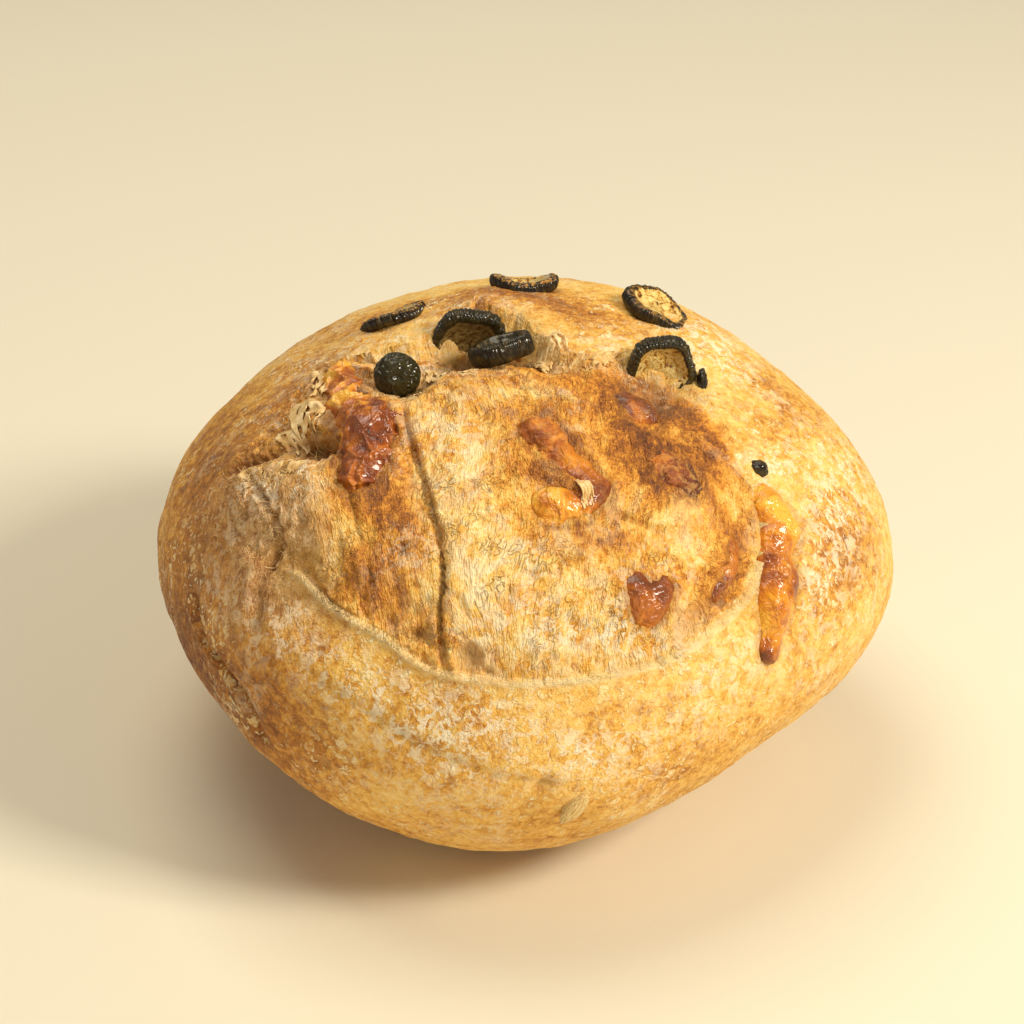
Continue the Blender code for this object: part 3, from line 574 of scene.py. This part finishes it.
crust_relief = 0.24 * noise_at(points + 0.3, 4.5 * MM, 3) + 0.42 * noise_at(points + 0.4, 12 * MM, 3)
relief = crust_relief + masks["torn"] * (crumb_relief - crust_relief)
relief = relief - 0.45 * masks["pale_lip_and_highlight"] * crumb_relief
for vert, height in zip(bm.verts, relief):
    vert.co += vert.normal * height * MM
# the left side is darkened as painted shade, and flour lies in clouds all over
PAINTED_SHADE_LEFT_OF, PAINTED_SHADE_FULL_BEYOND = -30 * MM, -85 * MM
painted_left_shade = smooth_step(-PAINTED_SHADE_LEFT_OF, -PAINTED_SHADE_FULL_BEYOND, -points[:, 0])
# the crust's and the crumb's clouds carry the painted shade of the left side along with their random tone
masks["clouds"] = np.clip(0.5 + 0.6 * noise_at(points, 24 * MM, 3) + 0.4 * painted_left_shade, 0, 1)
masks["crumb_clouds_and_left_shade"] = np.clip(0.5 + 0.8 * noise_at(points + 0.7, 14 * MM, 3) + 0.5 * painted_left_shade, 0, 1)
masks["patchy"] = smooth_step(-0.30, 0.30, noise_at(points + 0.8, 20 * MM, 2))
masks["fissured"] = smooth_step(-0.10, 0.35, noise_at(points + 0.9, 8 * MM, 2))
dusted = 0.35 * smooth_step(0.0, 0.5, noise_at(points + 1.1, 28 * MM, 3))
masks["floured"] = np.clip(masks["floured"] + dusted, 0, 1)
keys = {key: bm.verts.layers.float.new(key) for key in masks}
flow_key = bm.verts.layers.float_vector.new("flow")
for vert, value in zip(bm.verts, flow):
    vert[flow_key] = value
for vert, *values in zip(bm.verts, *(masks[key] for key in keys)):
    for layer, value in zip(keys.values(), values):
        vert[layer] = value
every = bm.verts[:] + bm.edges[:] + bm.faces[:]
bmesh.ops.bisect_plane(bm, geom=every, dist=1e-6, plane_co=(0, 0, 0), plane_no=(0, 0, -1), clear_outer=True)
bmesh.ops.holes_fill(bm, edges=[e for e in bm.edges if e.is_boundary])
finished("loaf_crust", bm, crust, ["loaf"])

# The seed: an oat-like seed in its husk, stuck flat on the front of the crust before baking. It is
# straw-coloured, with darker stripes along its length.
SEED_BEARING, SEED_HEIGHT = -79, -7.5
SEED_LENGTH, SEED_WIDTH, SEED_THICKNESS = 12.5 * MM, 5.6 * MM, 3.6 * MM
husk, tree, shader = new_material("husk", 0.55)
husk_grain = put(tree, "ShaderNodeAttribute", {"attribute_name": "grain"}).outputs["Vector"]
stripes = cloud(tree, husk_grain, 7, 4, 0.7)
husk_colour = ramp(tree, stripes, [(0.34, (0.42, 0.18, 0.03)), (0.50, (0.80, 0.54, 0.20)),
                                   (0.66, (0.93, 0.76, 0.40))])
tree.links.new(husk_colour, shader.inputs["Base Color"])
bump = put(tree, "ShaderNodeBump", inputs={"Height": stripes, "Distance": 0.0006, "Strength": 0.8})
tree.links.new(bump.outputs["Normal"], shader.inputs["Normal"])
outward = Vector(direction(SEED_BEARING, SEED_HEIGHT))
bm = bmesh.new()
bmesh.ops.create_uvsphere(bm, u_segments=32, v_segments=24, radius=0.5)
for vert in bm.verts:
    taper = 1 - 0.45 * max(vert.co.z * 2, 0) ** 2
    vert.co.x *= taper * (1 + 0.05 * sin(60 * vert.co.x))
    vert.co.y = vert.co.y * taper + 0.12 * (0.25 - vert.co.z ** 2)
seed_grain = [(vert.co.x * 2, vert.co.y * 2, vert.co.z * 0.16) for vert in bm.verts]
bmesh.ops.scale(bm, vec=(SEED_WIDTH, SEED_THICKNESS, SEED_LENGTH), verts=bm.verts)
upright = Vector(UP_FACE) + 0.45 * Vector(RIGHT)
side = upright.cross(outward).normalized()
turn = Matrix((side, outward, side.cross(outward))).transposed().to_4x4()
seat = loaf_surface(direction(SEED_BEARING, SEED_HEIGHT)[None], fine=False)[0][0]
bmesh.ops.transform(bm, matrix=Matrix.Translation(Vector(seat) + 0.6 * MM * outward) @ turn, verts=bm.verts)
seed = finished("stuck_seed", bm, husk)
seed.data.attributes.new("grain", "FLOAT_VECTOR", "POINT").data.foreach_set("vector", np.ravel(seed_grain))

# The pepper slices: rounds of green pepper, baked until the skin blackened and wrinkled. Three lie on the
# crust, one stands in the upper lip, and two are caught one behind the other in the hollow under the ear.

# Each one's middle in face coordinates, radius, thickness, axis as amounts of u, v and w, how pale its
# flesh is, how far its ends curl up, how green its skin stayed, and how many fried crumbs lie on its rim
PEPPER_SLICES = {
    "pepper_slice_left": ((-31, 71.0, 11), 10.0, 3.8, (-0.375, 0.925, 0.08), 0.7, 0.8, 0.0, 1.0),
    "pepper_slice_top": ((8.4, 81.8, 5), 9.8, 4.4, (0.0, 0.985, 0.17), 0.8, 1.0, 0.0, 1.0),
    "pepper_slice_right": ((47.5, 73.6, 12.4), 10.8, 4.2, (0.48, 0.77, 0.43), 1.0, 0.4, 0.0, 0.6),
    "pepper_slice_front": ((47.4, 55.0, 39.6), 9.8, 5.6, (0.10, -0.50, 0.86), 0.8, 0.2, 0.35, 0.0),
    "pepper_slice_inner": ((-8, 63.4, 26), 11.2, 4.6, (0.0, -0.70, 0.71), 0.25, 0.5, 0.3, 0.0),
    "pepper_slice_outer": ((1.8, 60.3, 41), 9.0, 6.2, (-0.29, 0.93, 0.22), 0.0, 0.3, 0.15, 0.0),
}
SLICE_SIDES = 272
SLICE_WAVES, SLICE_WAVE_DEPTH = 5, 0.05
# Profile from the middle of the upper face over the skin to the middle of the lower face
SLICE_PROFILE = [(0.0, 0.60), (0.25, 0.58), (0.45, 0.60), (0.60, 0.66), (0.70, 0.80), (0.76, 0.94),
                 (0.84, 1.0), (0.93, 0.97), (0.985, 0.88), (1.01, 0.74), (1.02, 0.60), (1.02, 0.45),
                 (1.01, 0.30), (0.985, 0.14), (0.93, 0.03), (0.84, 0.0), (0.72, 0.06), (0.45, 0.10),
                 (0.0, 0.10)]

skin_and_flesh, tree, shader = new_material("pepper", 0.35)
place = put(tree, "ShaderNodeTexCoord").outputs["Object"]
char = cloud(tree, place, 420, 4, 0.6)
skin = ramp(tree, char, [(0.30, (0.008, 0.004, 0.001)), (0.50, (0.022, 0.012, 0.002)),
                         (0.66, (0.080, 0.048, 0.008)), (0.80, (0.26, 0.15, 0.03))])
skin = blend(tree, mask(tree, "green"), skin, (0.034, 0.028, 0.002))
bits = cloud(tree, place, 520, 4, 0.7, 0.6)
flesh = ramp(tree, bits, [(0.34, (0.06, 0.022, 0.005)), (0.42, (0.42, 0.16, 0.018)),
                          (0.47, (0.78, 0.46, 0.09)), (0.57, (0.95, 0.74, 0.28))])
dull_flesh = ramp(tree, bits, [(0.34, (0.012, 0.009, 0.005)), (0.50, (0.05, 0.038, 0.014)),
                               (0.68, (0.20, 0.13, 0.05))])
flesh = blend(tree, mask(tree, "paleness"), dull_flesh, flesh)
uneven_edge = sums(tree, "MULTIPLY", sums(tree, "SUBTRACT", bits, 0.5), 0.9)
edge = sums(tree, "ADD", mask(tree, "flesh"), uneven_edge)
colour = blend(tree, between(tree, edge, 0.42, 0.60), skin, flesh)
fried = between(tree, cloud(tree, place, 900, 3, 0.7), 0.50, 0.57)
fried = sums(tree, "MULTIPLY", fried, mask(tree, "crumbs"))
colour = blend(tree, fried, colour, (0.72, 0.33, 0.045))
tree.links.new(colour, shader.inputs["Base Color"])
wrinkles = lines(tree, cloud(tree, place, 800, 3, 0.6, 0.8), 5.0)
uneven = sums(tree, "ADD", bits, sums(tree, "MULTIPLY", wrinkles, 0.35))
bump = put(tree, "ShaderNodeBump", inputs={"Height": uneven, "Distance": 0.0009, "Strength": 0.8})
tree.links.new(bump.outputs["Normal"], shader.inputs["Normal"])
shader.inputs["Coat Weight"].default_value = 0.7
shader.inputs["Coat Roughness"].default_value = 0.08
shader.inputs["Specular IOR Level"].default_value = 0.12


def at_face_place(spot, axis):
    """Where a piece stands: its middle in face coordinates in mm, and its own Z turned along an axis."""
    along = axis[0] * RIGHT + axis[1] * UP_FACE + axis[2] * OUT_OF_FACE
    middle = HEART + (spot[0] * RIGHT + spot[1] * UP_FACE + spot[2] * OUT_OF_FACE) * MM
    return Matrix.Translation(middle) @ Vector(along).to_track_quat("Z", "Y").to_matrix().to_4x4()


for phase, (name, traits) in enumerate(PEPPER_SLICES.items()):
    spot, radius, thickness, axis, paleness, curl, green, crumbled = traits
    bm = bmesh.new()
    rim = [bm.verts.new((r * radius * MM, 0, (z - 0.5) * thickness * MM)) for r, z in SLICE_PROFILE]
    edges = [bm.edges.new(pair) for pair in zip(rim[:-1], rim[1:])]
    bmesh.ops.spin(bm, geom=rim + edges, cent=(0, 0, 0), axis=(0, 0, 1), angle=2 * pi, steps=SLICE_SIDES,
                   use_merge=True)
    bmesh.ops.remove_doubles(bm, verts=bm.verts, dist=1e-6)
    bmesh.ops.recalc_face_normals(bm, faces=bm.faces)
    shares, paled, crumbs = [], [], []
    for vert in bm.verts:
        x, y, z = vert.co
        angle = np.arctan2(y, x)
        share = np.hypot(x, y) / (radius * MM)
        ridge = noise.noise((cos(angle) * 9, sin(angle) * 9, phase * 3.1 + z * 90))
        drift = noise.noise((cos(angle) * 3, sin(angle) * 3, phase + z * 150))
        rib = abs(sin(29 * angle + 4 * drift)) - 0.6
        ridge = 0.7 * ridge + rib * (0.7 + 0.8 * drift)
        wave = 1 + SLICE_WAVE_DEPTH * sin(SLICE_WAVES * angle + phase) + 0.065 * ridge * share ** 4
        lumpy = noise.noise((x * 500, y * 500, phase * 2.7)) * 0.35 * (1 - share ** 3)
        upper = z > -0.3 * thickness * MM
        shares.append(1 - smooth_step(0.62, 0.92, share) if upper else 0.25 * (1 - share))
        paled.append(paleness)
        crumbs.append(crumbled * smooth_step(0.25, 0.5, z / (thickness * MM)))
        vert.co.x = x * wave
        vert.co.y = y * wave * (1 - SLICE_WAVE_DEPTH * sin(phase))
        vert.co.z = z + (0.4 * sin(2 * angle + phase) + lumpy + curl * share ** 2 * cos(2 * angle)) * MM
        vert.co.z += 0.25 * MM * ridge * smooth_step(0.6, 0.9, share)
    bmesh.ops.transform(bm, matrix=at_face_place(spot, axis), verts=bm.verts)
    finished(name, bm, skin_and_flesh, [name],
             {"flesh": shares, "paleness": paled, "green": np.full(len(shares), green), "crumbs": crumbs})

# The pepper's tip and scraps: the blunt green end of a pepper in a hollow of its own, and two blackened
# crumbs of skin pressed into the crust.
PEPPER_TIP = ((-28.5, 52.4, 45), 6.6, 5.8)
bm = bmesh.new()
bmesh.ops.create_icosphere(bm, subdivisions=6, radius=MM)
spot, radius, half_height = PEPPER_TIP
for vert in bm.verts:
    x, y, z = vert.co / MM
    ridge = 1 - 4 * abs(noise.noise((x * 5, y * 5, z * 5)))
    fold = 1 + 0.06 * noise.noise((x * 2.2, y * 2.2, z * 2.2)) + 0.035 * ridge
    dimple = 0.18 * np.exp(-(x * x + y * y) / 0.05) if z > 0 else 0
    vert.co = Vector((x * radius, y * radius, z * half_height * (1 - dimple))) * fold * MM
bmesh.ops.transform(bm, matrix=at_face_place(spot, (0.05, -0.1, 1)), verts=bm.verts)
count = len(bm.verts)
finished("pepper_tip", bm, skin_and_flesh, ["pepper_tip"],
         {"flesh": np.zeros(count), "paleness": np.zeros(count), "green": np.full(count, 0.7)})

# Each scrap's place u, v, how deep its middle lies under the crust, and its half sizes along u, v and w
PEPPER_SCRAPS = {
    "pepper_scrap_front": (59.6, 51.3, 0.6, (1.6, 3.6, 2.6)),
    "pepper_scrap_right": (74.4, 25.4, 0.6, (2.8, 2.6, 2.6)),
}


def on_face(places, below, fine=True):
    """The open face's points at places u, v, taken some way towards the heart, all in mm."""
    places = np.asarray(places, float) * MM
    plane = places @ np.array([RIGHT, UP_FACE])
    low, high = np.zeros(len(places)), np.full(len(places), 110 * MM)
    for _ in range(24):
        middle = (low + high) / 2
        line = plane + middle[:, None] * OUT_OF_FACE
        reach = np.linalg.norm(line, axis=1)
        ways = line / reach[:, None]
        inside = reach < body_radius(ways)
        low, high = np.where(inside, middle, low), np.where(inside, high, middle)
    return loaf_surface(ways, fine)[0] - (np.asarray(below) * MM * np.ones(len(places)))[:, None] * ways


for name, (u, v, below, half_sizes) in PEPPER_SCRAPS.items():
    bm = bmesh.new()
    bmesh.ops.create_icosphere(bm, subdivisions=4, radius=MM)
    for vert in bm.verts:
        x, y, z = vert.co / MM
        vert.co *= 1 + 0.22 * noise.noise((x * 2.5, y * 2.5, z * 2.5 + u))
    bmesh.ops.scale(bm, vec=half_sizes, verts=bm.verts)
    turned = Matrix((RIGHT, UP_FACE, OUT_OF_FACE)).transposed().to_4x4()
    middle = on_face([(u, v)], below, fine=False)[0]
    bmesh.ops.transform(bm, matrix=Matrix.Translation(middle) @ turned, verts=bm.verts)
    count = len(bm.verts)
    finished(name, bm, skin_and_flesh, [name],
             {"flesh": np.full(count, 0.2), "paleness": np.full(count, 0.6), "green": np.zeros(count)})

# The cheese: cubes of cheese that melted out of the dough and browned, glossy with their own fat, thin
# skinned and wrinkled where they shrank. Each is a run of melted balls, with a skin of flat facets.
BALLS_PER_SPAN, VOXEL = 4, 0.45 * MM
FACET_SIZE, WRINKLE_SIZE, LUMP_SIZE = 7 * MM, 2.4 * MM, 9 * MM
# How deeply creased each one's skin is, in mm, then along its run how brown it is, 0 orange and 1 black,
# and how dull it is where crumb stuck to it
CHEESE_LOOKS = {
    "cheese_left": (1.6, [0.35, 0.36, 0.30, 0.60, 0.66, 0.62], [0.0]),
    "cheese_middle": (0.6, [0.50, 0.55, 0.58, 0.55, 0.02], [0.9, 0.5, 0.2, 0.3, 0.1]),
    "cheese_upper": (0.3, [0.66, 0.74], [0.35]),
    "cheese_dark": (0.7, [0.72, 0.85], [1.0]),
    "cheese_lower": (0.5, [0.50, 0.60], [0.1]),
    "cheese_streak": (0.6, [0.60, 0.50], [0.5]),
    "cheese_right": (0.6, [0.06, 0.08, 0.30, 0.45, 0.12, 0.40], [0.0]),
}

browned_cheese, tree, shader = new_material("cheese", 0.28)
place = put(tree, "ShaderNodeTexCoord").outputs["Object"]
clouds = cloud(tree, place, 120, 4, 0.6, 0.8)
brown = sums(tree, "MULTIPLY", sums(tree, "SUBTRACT", clouds, 0.5), 1.3)
brown = sums(tree, "ADD", brown, mask(tree, "browning_and_ridge_highlight"))
colour = ramp(tree, brown, [(0.02, (0.90, 0.46, 0.050)), (0.22, (0.76, 0.28, 0.012)),
                            (0.42, (0.50, 0.135, 0.007)), (0.62, (0.27, 0.055, 0.004)),
                            (0.95, (0.07, 0.015, 0.003))])
flecks = between(tree, cloud(tree, place, 420, 5, 0.75, 0.6), 0.47, 0.60)
stuck = sums(tree, "MULTIPLY", sums(tree, "MULTIPLY", flecks, mask(tree, "matt")), 0.55)
colour = blend(tree, stuck, colour, (0.66, 0.33, 0.07))
tree.links.new(colour, shader.inputs["Base Color"])
dulled = sums(tree, "MULTIPLY", mask(tree, "matt"), 0.35)
tree.links.new(sums(tree, "ADD", dulled, 0.26), shader.inputs["Roughness"])
fat = sums(tree, "SUBTRACT", 0.42, sums(tree, "MULTIPLY", mask(tree, "matt"), 0.42))
tree.links.new(fat, shader.inputs["Coat Weight"])
ridges = lines(tree, cloud(tree, place, 230, 2, 0.5, 1.5), 6.0)
bump = put(tree, "ShaderNodeBump", inputs={"Height": ridges, "Distance": 0.0007, "Strength": 0.5})
tree.links.new(bump.outputs["Normal"], shader.inputs["Normal"])
shader.inputs["Coat Roughness"].default_value = 0.06

# The throw of the skin's facets, so that they are the same each time
FACET_SEED = 3
noise.seed_set(FACET_SEED)
for name, run in CHEESE_RUNS.items():
    run = np.array(run, float)
    steps = np.arange((len(run) - 1) * BALLS_PER_SPAN + 1) / BALLS_PER_SPAN
    run = np.array([np.interp(steps, np.arange(len(run)), column) for column in run.T]).T
    bm = bmesh.new()
    middles = on_face(run[:, :2], run[:, 3], fine=False)
    for middle, radius in zip(middles, run[:, 2]):
        ball_place = Matrix.Translation(middle)
        bmesh.ops.create_icosphere(bm, subdivisions=3, radius=radius * MM, matrix=ball_place)
    mesh = bpy.data.meshes.new("melting")
    bm.to_mesh(mesh)
    bm.free()
    melting = bpy.data.objects.new("melting", mesh)
    bpy.context.scene.collection.objects.link(melting)
    melt = melting.modifiers.new("Melt", "REMESH")
    melt.mode = "VOXEL"
    melt.voxel_size = VOXEL
    slump = melting.modifiers.new("Slump", "SMOOTH")
    slump.iterations = 6
    bm = bmesh.new()
    bm.from_object(melting, bpy.context.evaluated_depsgraph_get())
    bpy.data.objects.remove(melting)
    bm.normal_update()
    browning_and_ridge_highlight = []
    moved = []
    matts = []
    for vert in bm.verts:
        p = vert.co
        places = p / FACET_SIZE + 0.25 * noise.noise_vector(p / (5 * MM))
        (near, next_near, *_), (middle_of_facet, *_) = noise.voronoi(places)
        fold = 1 - min((next_near - near) / 0.28, 1)
        tilt = (places - middle_of_facet) @ noise.noise_vector(middle_of_facet * 3.7).normalized()
        wrinkle = (1 - 1.6 * abs(noise.noise(p / WRINKLE_SIZE + Vector((3, 1, 7))))) ** 2
        lump = noise.noise(p / LUMP_SIZE + Vector((5, 5, 5)))
        rough = noise.fractal(p / (2.2 * MM), 0.9, 2.1, 3)
        deep, browns, matt = CHEESE_LOOKS[name]
        share = np.argmin(np.linalg.norm(middles - p, axis=1)) / (len(middles) - 1)
        brown = np.interp(share * (len(browns) - 1), range(len(browns)), browns)
        dull = np.interp(share * (len(matt) - 1), range(len(matt)), matt)
        creased = deep * (0.55 * fold - 0.2 + 0.8 * tilt + 0.12 * (wrinkle - 0.5))
        moved.append(p + vert.normal * MM * (creased + 0.8 * lump + 0.5 * dull * rough - 0.2))
        # the ridges of the creases are made lighter as painted highlight, and the facets between them darker
        # as painted shade
        browning_and_ridge_highlight.append(brown + 0.35 * lump - 0.12 * (fold - 0.3) * deep)
        matts.append(dull)
    for vert, point in zip(bm.verts, moved):
        vert.co = point
    finished(name, bm, browned_cheese, [name], {"browning_and_ridge_highlight": browning_and_ridge_highlight, "matt": matts})

# The torn shreds: threads of stretched crumb that bridge the tear, and ragged sheets of it that hang
# where the crust pulled away from the dough.

# Threads: u, v, half spread along and across, turn, how many, length in mm
THREADS = [(14, 60, 6, 3, -20, 60, 4), (-22, 57, 10, 5, 30, 160, 4), (-31, 44, 7, 4, 0, 90, 3),
           (-55, 37, 7, 6, 60, 110, 4), (-46, 44, 5, 7, 40, 60, 4), (-64, 23, 10, 4, 0, 160, 3),
           (-12, 53, 13, 5, 0, 160, 4), (34, 57, 14, 3, -5, 80, 3), (-51, 21, 9, 5, 0, 160, 3),
           (-60, 6, 14, 8, 70, 120, 3), (2, 40, 16, 14, 0, 60, 3)]
THREAD_PARTS, THREAD_SIDES = 5, 4
torn, tree, shader = new_material("torn_crumb", 0.7)
place = put(tree, "ShaderNodeTexCoord").outputs["Object"]
shred_colour = ramp(tree, cloud(tree, place, 240, 4, 0.7), [(0.32, (0.46, 0.22, 0.055)),
                                                            (0.46, (0.74, 0.47, 0.17)),
                                                            (0.64, (0.92, 0.70, 0.38))])
tree.links.new(shred_colour, shader.inputs["Base Color"])
random = np.random.default_rng(7)
bm = bmesh.new()
for u0, v0, spread, across, turn, count, length in THREADS:
    a = radians(turn)
    scatter = random.normal(0, 0.5, (count, 2)) * (spread, across)
    starts = (u0, v0) + scatter @ np.array([[cos(a), sin(a)], [-sin(a), cos(a)]])
    ways = random.normal(0, 1, (count, 2)) * (0.7, 1.0)
    ends = starts + ways / np.hypot(*ways.T)[:, None] * length * random.uniform(0.4, 1.1, (count, 1))
    for first, last in zip(on_face(starts, 0.4), on_face(ends, 0.4)):
        first, last = Vector(first), Vector(last)
        outward = (first - Vector(HEART)).normalized()
        lift, sway = random.uniform(0.1, 0.6) * MM, random.normal(0, 0.5) * MM
        thick = random.uniform(0.06, 0.16) * MM
        side = outward.cross(last - first).normalized()
        rings = []
        for i in range(THREAD_PARTS + 1):
            t = i / THREAD_PARTS
            middle = first.lerp(last, t) + outward * lift * sin(pi * t) + side * sway * sin(2 * pi * t)
            girth = thick * (0.7 + 0.6 * abs(2 * t - 1))
            angles = [2 * pi * k / THREAD_SIDES for k in range(THREAD_SIDES)]
            rings.append([bm.verts.new(middle + girth * (cos(angle) * side + sin(angle) * outward))
                          for angle in angles])
        for ring, following in zip(rings[:-1], rings[1:]):
            for k in range(THREAD_SIDES):
                k2 = (k + 1) % THREAD_SIDES
                bm.faces.new((ring[k], ring[k2], following[k2], following[k]))
        bm.faces.new(rings[0][::-1])
        bm.faces.new(rings[-1])
bmesh.ops.recalc_face_normals(bm, faces=bm.faces)
finished("torn_threads", bm, torn)

# Ragged sheets: u, v of the middle of the held edge, half width, length, turn of the hanging way, lift in mm
SHEETS = [(-53, 46, 7.0, 13, -4, 1.8), (-60, 37, 5, 6, 15, 1.2), (-48, 53, 4.5, 8, -30, 1.4),
          (14, 65, 4.5, 8, 35, 2.0), (-20, 61, 4.5, 8, 15, 1.4), (-10, 56, 5, 6, 60, 1.0),
          (-27, 45, 6, 5, 170, 1.0), (32, 60, 6, 4, 0, 0.8), (-54, 23, 6, 6, 175, 0.9),
          (-66, 22, 5, 5, 190, 0.8), (-16, 63, 4, 7, 40, 1.2), (22, 22, 1.8, 8, 14, 3.4)]
SHEET_ROWS, SHEET_COLUMNS, SHEET_THICKNESS = 22, 22, 0.35 * MM
# The last one is a whole white flake on the crumb, with no holes and no frayed edge
WHOLE_SHEET = len(SHEETS) - 1
bm = bmesh.new()
for number, (u, v, half_width, length, turn, lift) in enumerate(SHEETS):
    a = radians(turn)
    places, lifts = [], []
    for j in range(SHEET_ROWS + 1):
        for i in range(SHEET_COLUMNS + 1):
            s, t = 2 * i / SHEET_COLUMNS - 1, j / SHEET_ROWS
            ragged = 1 + 0.45 * noise.noise((s * 2.6, number * 5.1, 0.5))
            narrow = 1 - 0.35 * t + 0.3 * noise.noise((t * 3, number * 3.3, 1.5))
            across, down = s * half_width * narrow, t * length * ragged
            places.append((u + across * cos(a) + down * sin(a), v + across * sin(a) - down * cos(a)))
            crumple = 0.4 * noise.noise((s * 4, t * 4, number * 2.1))
            crumple += 0.35 * noise.noise((s * 9, t * 9, number * 4.7))
            lifts.append(lift * sin(pi * min(t, 0.8)) + crumple - 0.5 * (1 - t))
    verts = [bm.verts.new(point) for point in on_face(places, -np.array(lifts))]
    rows = [verts[j * (SHEET_COLUMNS + 1):(j + 1) * (SHEET_COLUMNS + 1)] for j in range(SHEET_ROWS + 1)]
    for j in range(SHEET_ROWS):
        for i in range(SHEET_COLUMNS):
            s, t = 2 * (i + 0.5) / SHEET_COLUMNS - 1, (j + 0.5) / SHEET_ROWS
            holed = noise.noise((s * 4.0, t * 3.0 + 4, number * 7.7)) > 0.26 and t > 0.2
            frayed = t > 0.8 + 0.35 * noise.noise((s * 3.5, number * 2.9, 2.5))
            frayed = frayed or abs(s) > 0.85 + 0.3 * noise.noise((t * 3.5, number, 9.5))
            if number == WHOLE_SHEET or not (holed or frayed):
                bm.faces.new((rows[j][i], rows[j][i + 1], rows[j + 1][i + 1], rows[j + 1][i]))
bmesh.ops.delete(bm, geom=[vert for vert in bm.verts if not vert.link_faces], context="VERTS")
bmesh.ops.recalc_face_normals(bm, faces=bm.faces)
for _ in range(3):
    bmesh.ops.smooth_vert(bm, verts=[vert for vert in bm.verts if vert.is_boundary], factor=0.5)
bmesh.ops.solidify(bm, geom=bm.faces[:], thickness=SHEET_THICKNESS)
finished("torn_sheets", bm, torn)

# The floor, the light and the view: a plain pale floor, a soft light from the right, a large one overhead
# and a weak one from the front, seen from 30 degrees above with the torn face to the front.
floor_paint, tree, shader = new_material("floor", 0.9)
shader.inputs["Base Color"].default_value = (0.78, 0.71, 0.56, 1)
bm = bmesh.new()
bmesh.ops.create_grid(bm, x_segments=1, y_segments=1, size=6)
mesh = bpy.data.meshes.new("floor")
bm.to_mesh(mesh)
bm.free()
mesh.materials.append(floor_paint)
floor = bpy.data.objects.new("floor", mesh)
bpy.context.scene.collection.objects.link(floor)

AIM = Vector((-4.2, 0, 76)) * MM
VIEW_HEIGHT, VIEW_DISTANCE = radians(30), 0.85


def soft_light(name, place, size, power, colour):
    lamp = bpy.data.lights.new(name, "AREA")
    lamp.size = size
    lamp.energy = power
    lamp.color = colour
    light = bpy.data.objects.new(name, lamp)
    light.location = place
    light.rotation_euler = (AIM - light.location).to_track_quat("-Z", "Y").to_euler()
    bpy.context.scene.collection.objects.link(light)


soft_light("key", Vector((1.0, -0.5, 0.95)), 0.35, 18.2, (1.0, 0.94, 0.80))
soft_light("overhead", Vector((-0.3, 0.35, 1.4)), 0.9, 11.2, (1.0, 0.94, 0.80))
soft_light("fill", Vector((-0.1, -1.2, 0.25)), 0.9, 2.4, (1.0, 0.88, 0.66))
world = bpy.data.worlds.new("studio")
world.use_nodes = True
world.node_tree.nodes["Background"].inputs["Color"].default_value = (1.0, 0.94, 0.82, 1)
world.node_tree.nodes["Background"].inputs["Strength"].default_value = 0.28
bpy.context.scene.world = world
bpy.context.scene.view_settings.view_transform = "Standard"

camera = bpy.data.cameras.new("camera")
camera.sensor_width = 36
camera.lens = 99.6
eye = bpy.data.objects.new("camera", camera)
eye.location = AIM - VIEW_DISTANCE * Vector((0, cos(VIEW_HEIGHT), -sin(VIEW_HEIGHT)))
eye.rotation_euler = (pi / 2 - VIEW_HEIGHT, 0, 0)
bpy.context.scene.collection.objects.link(eye)
bpy.context.scene.camera = eye
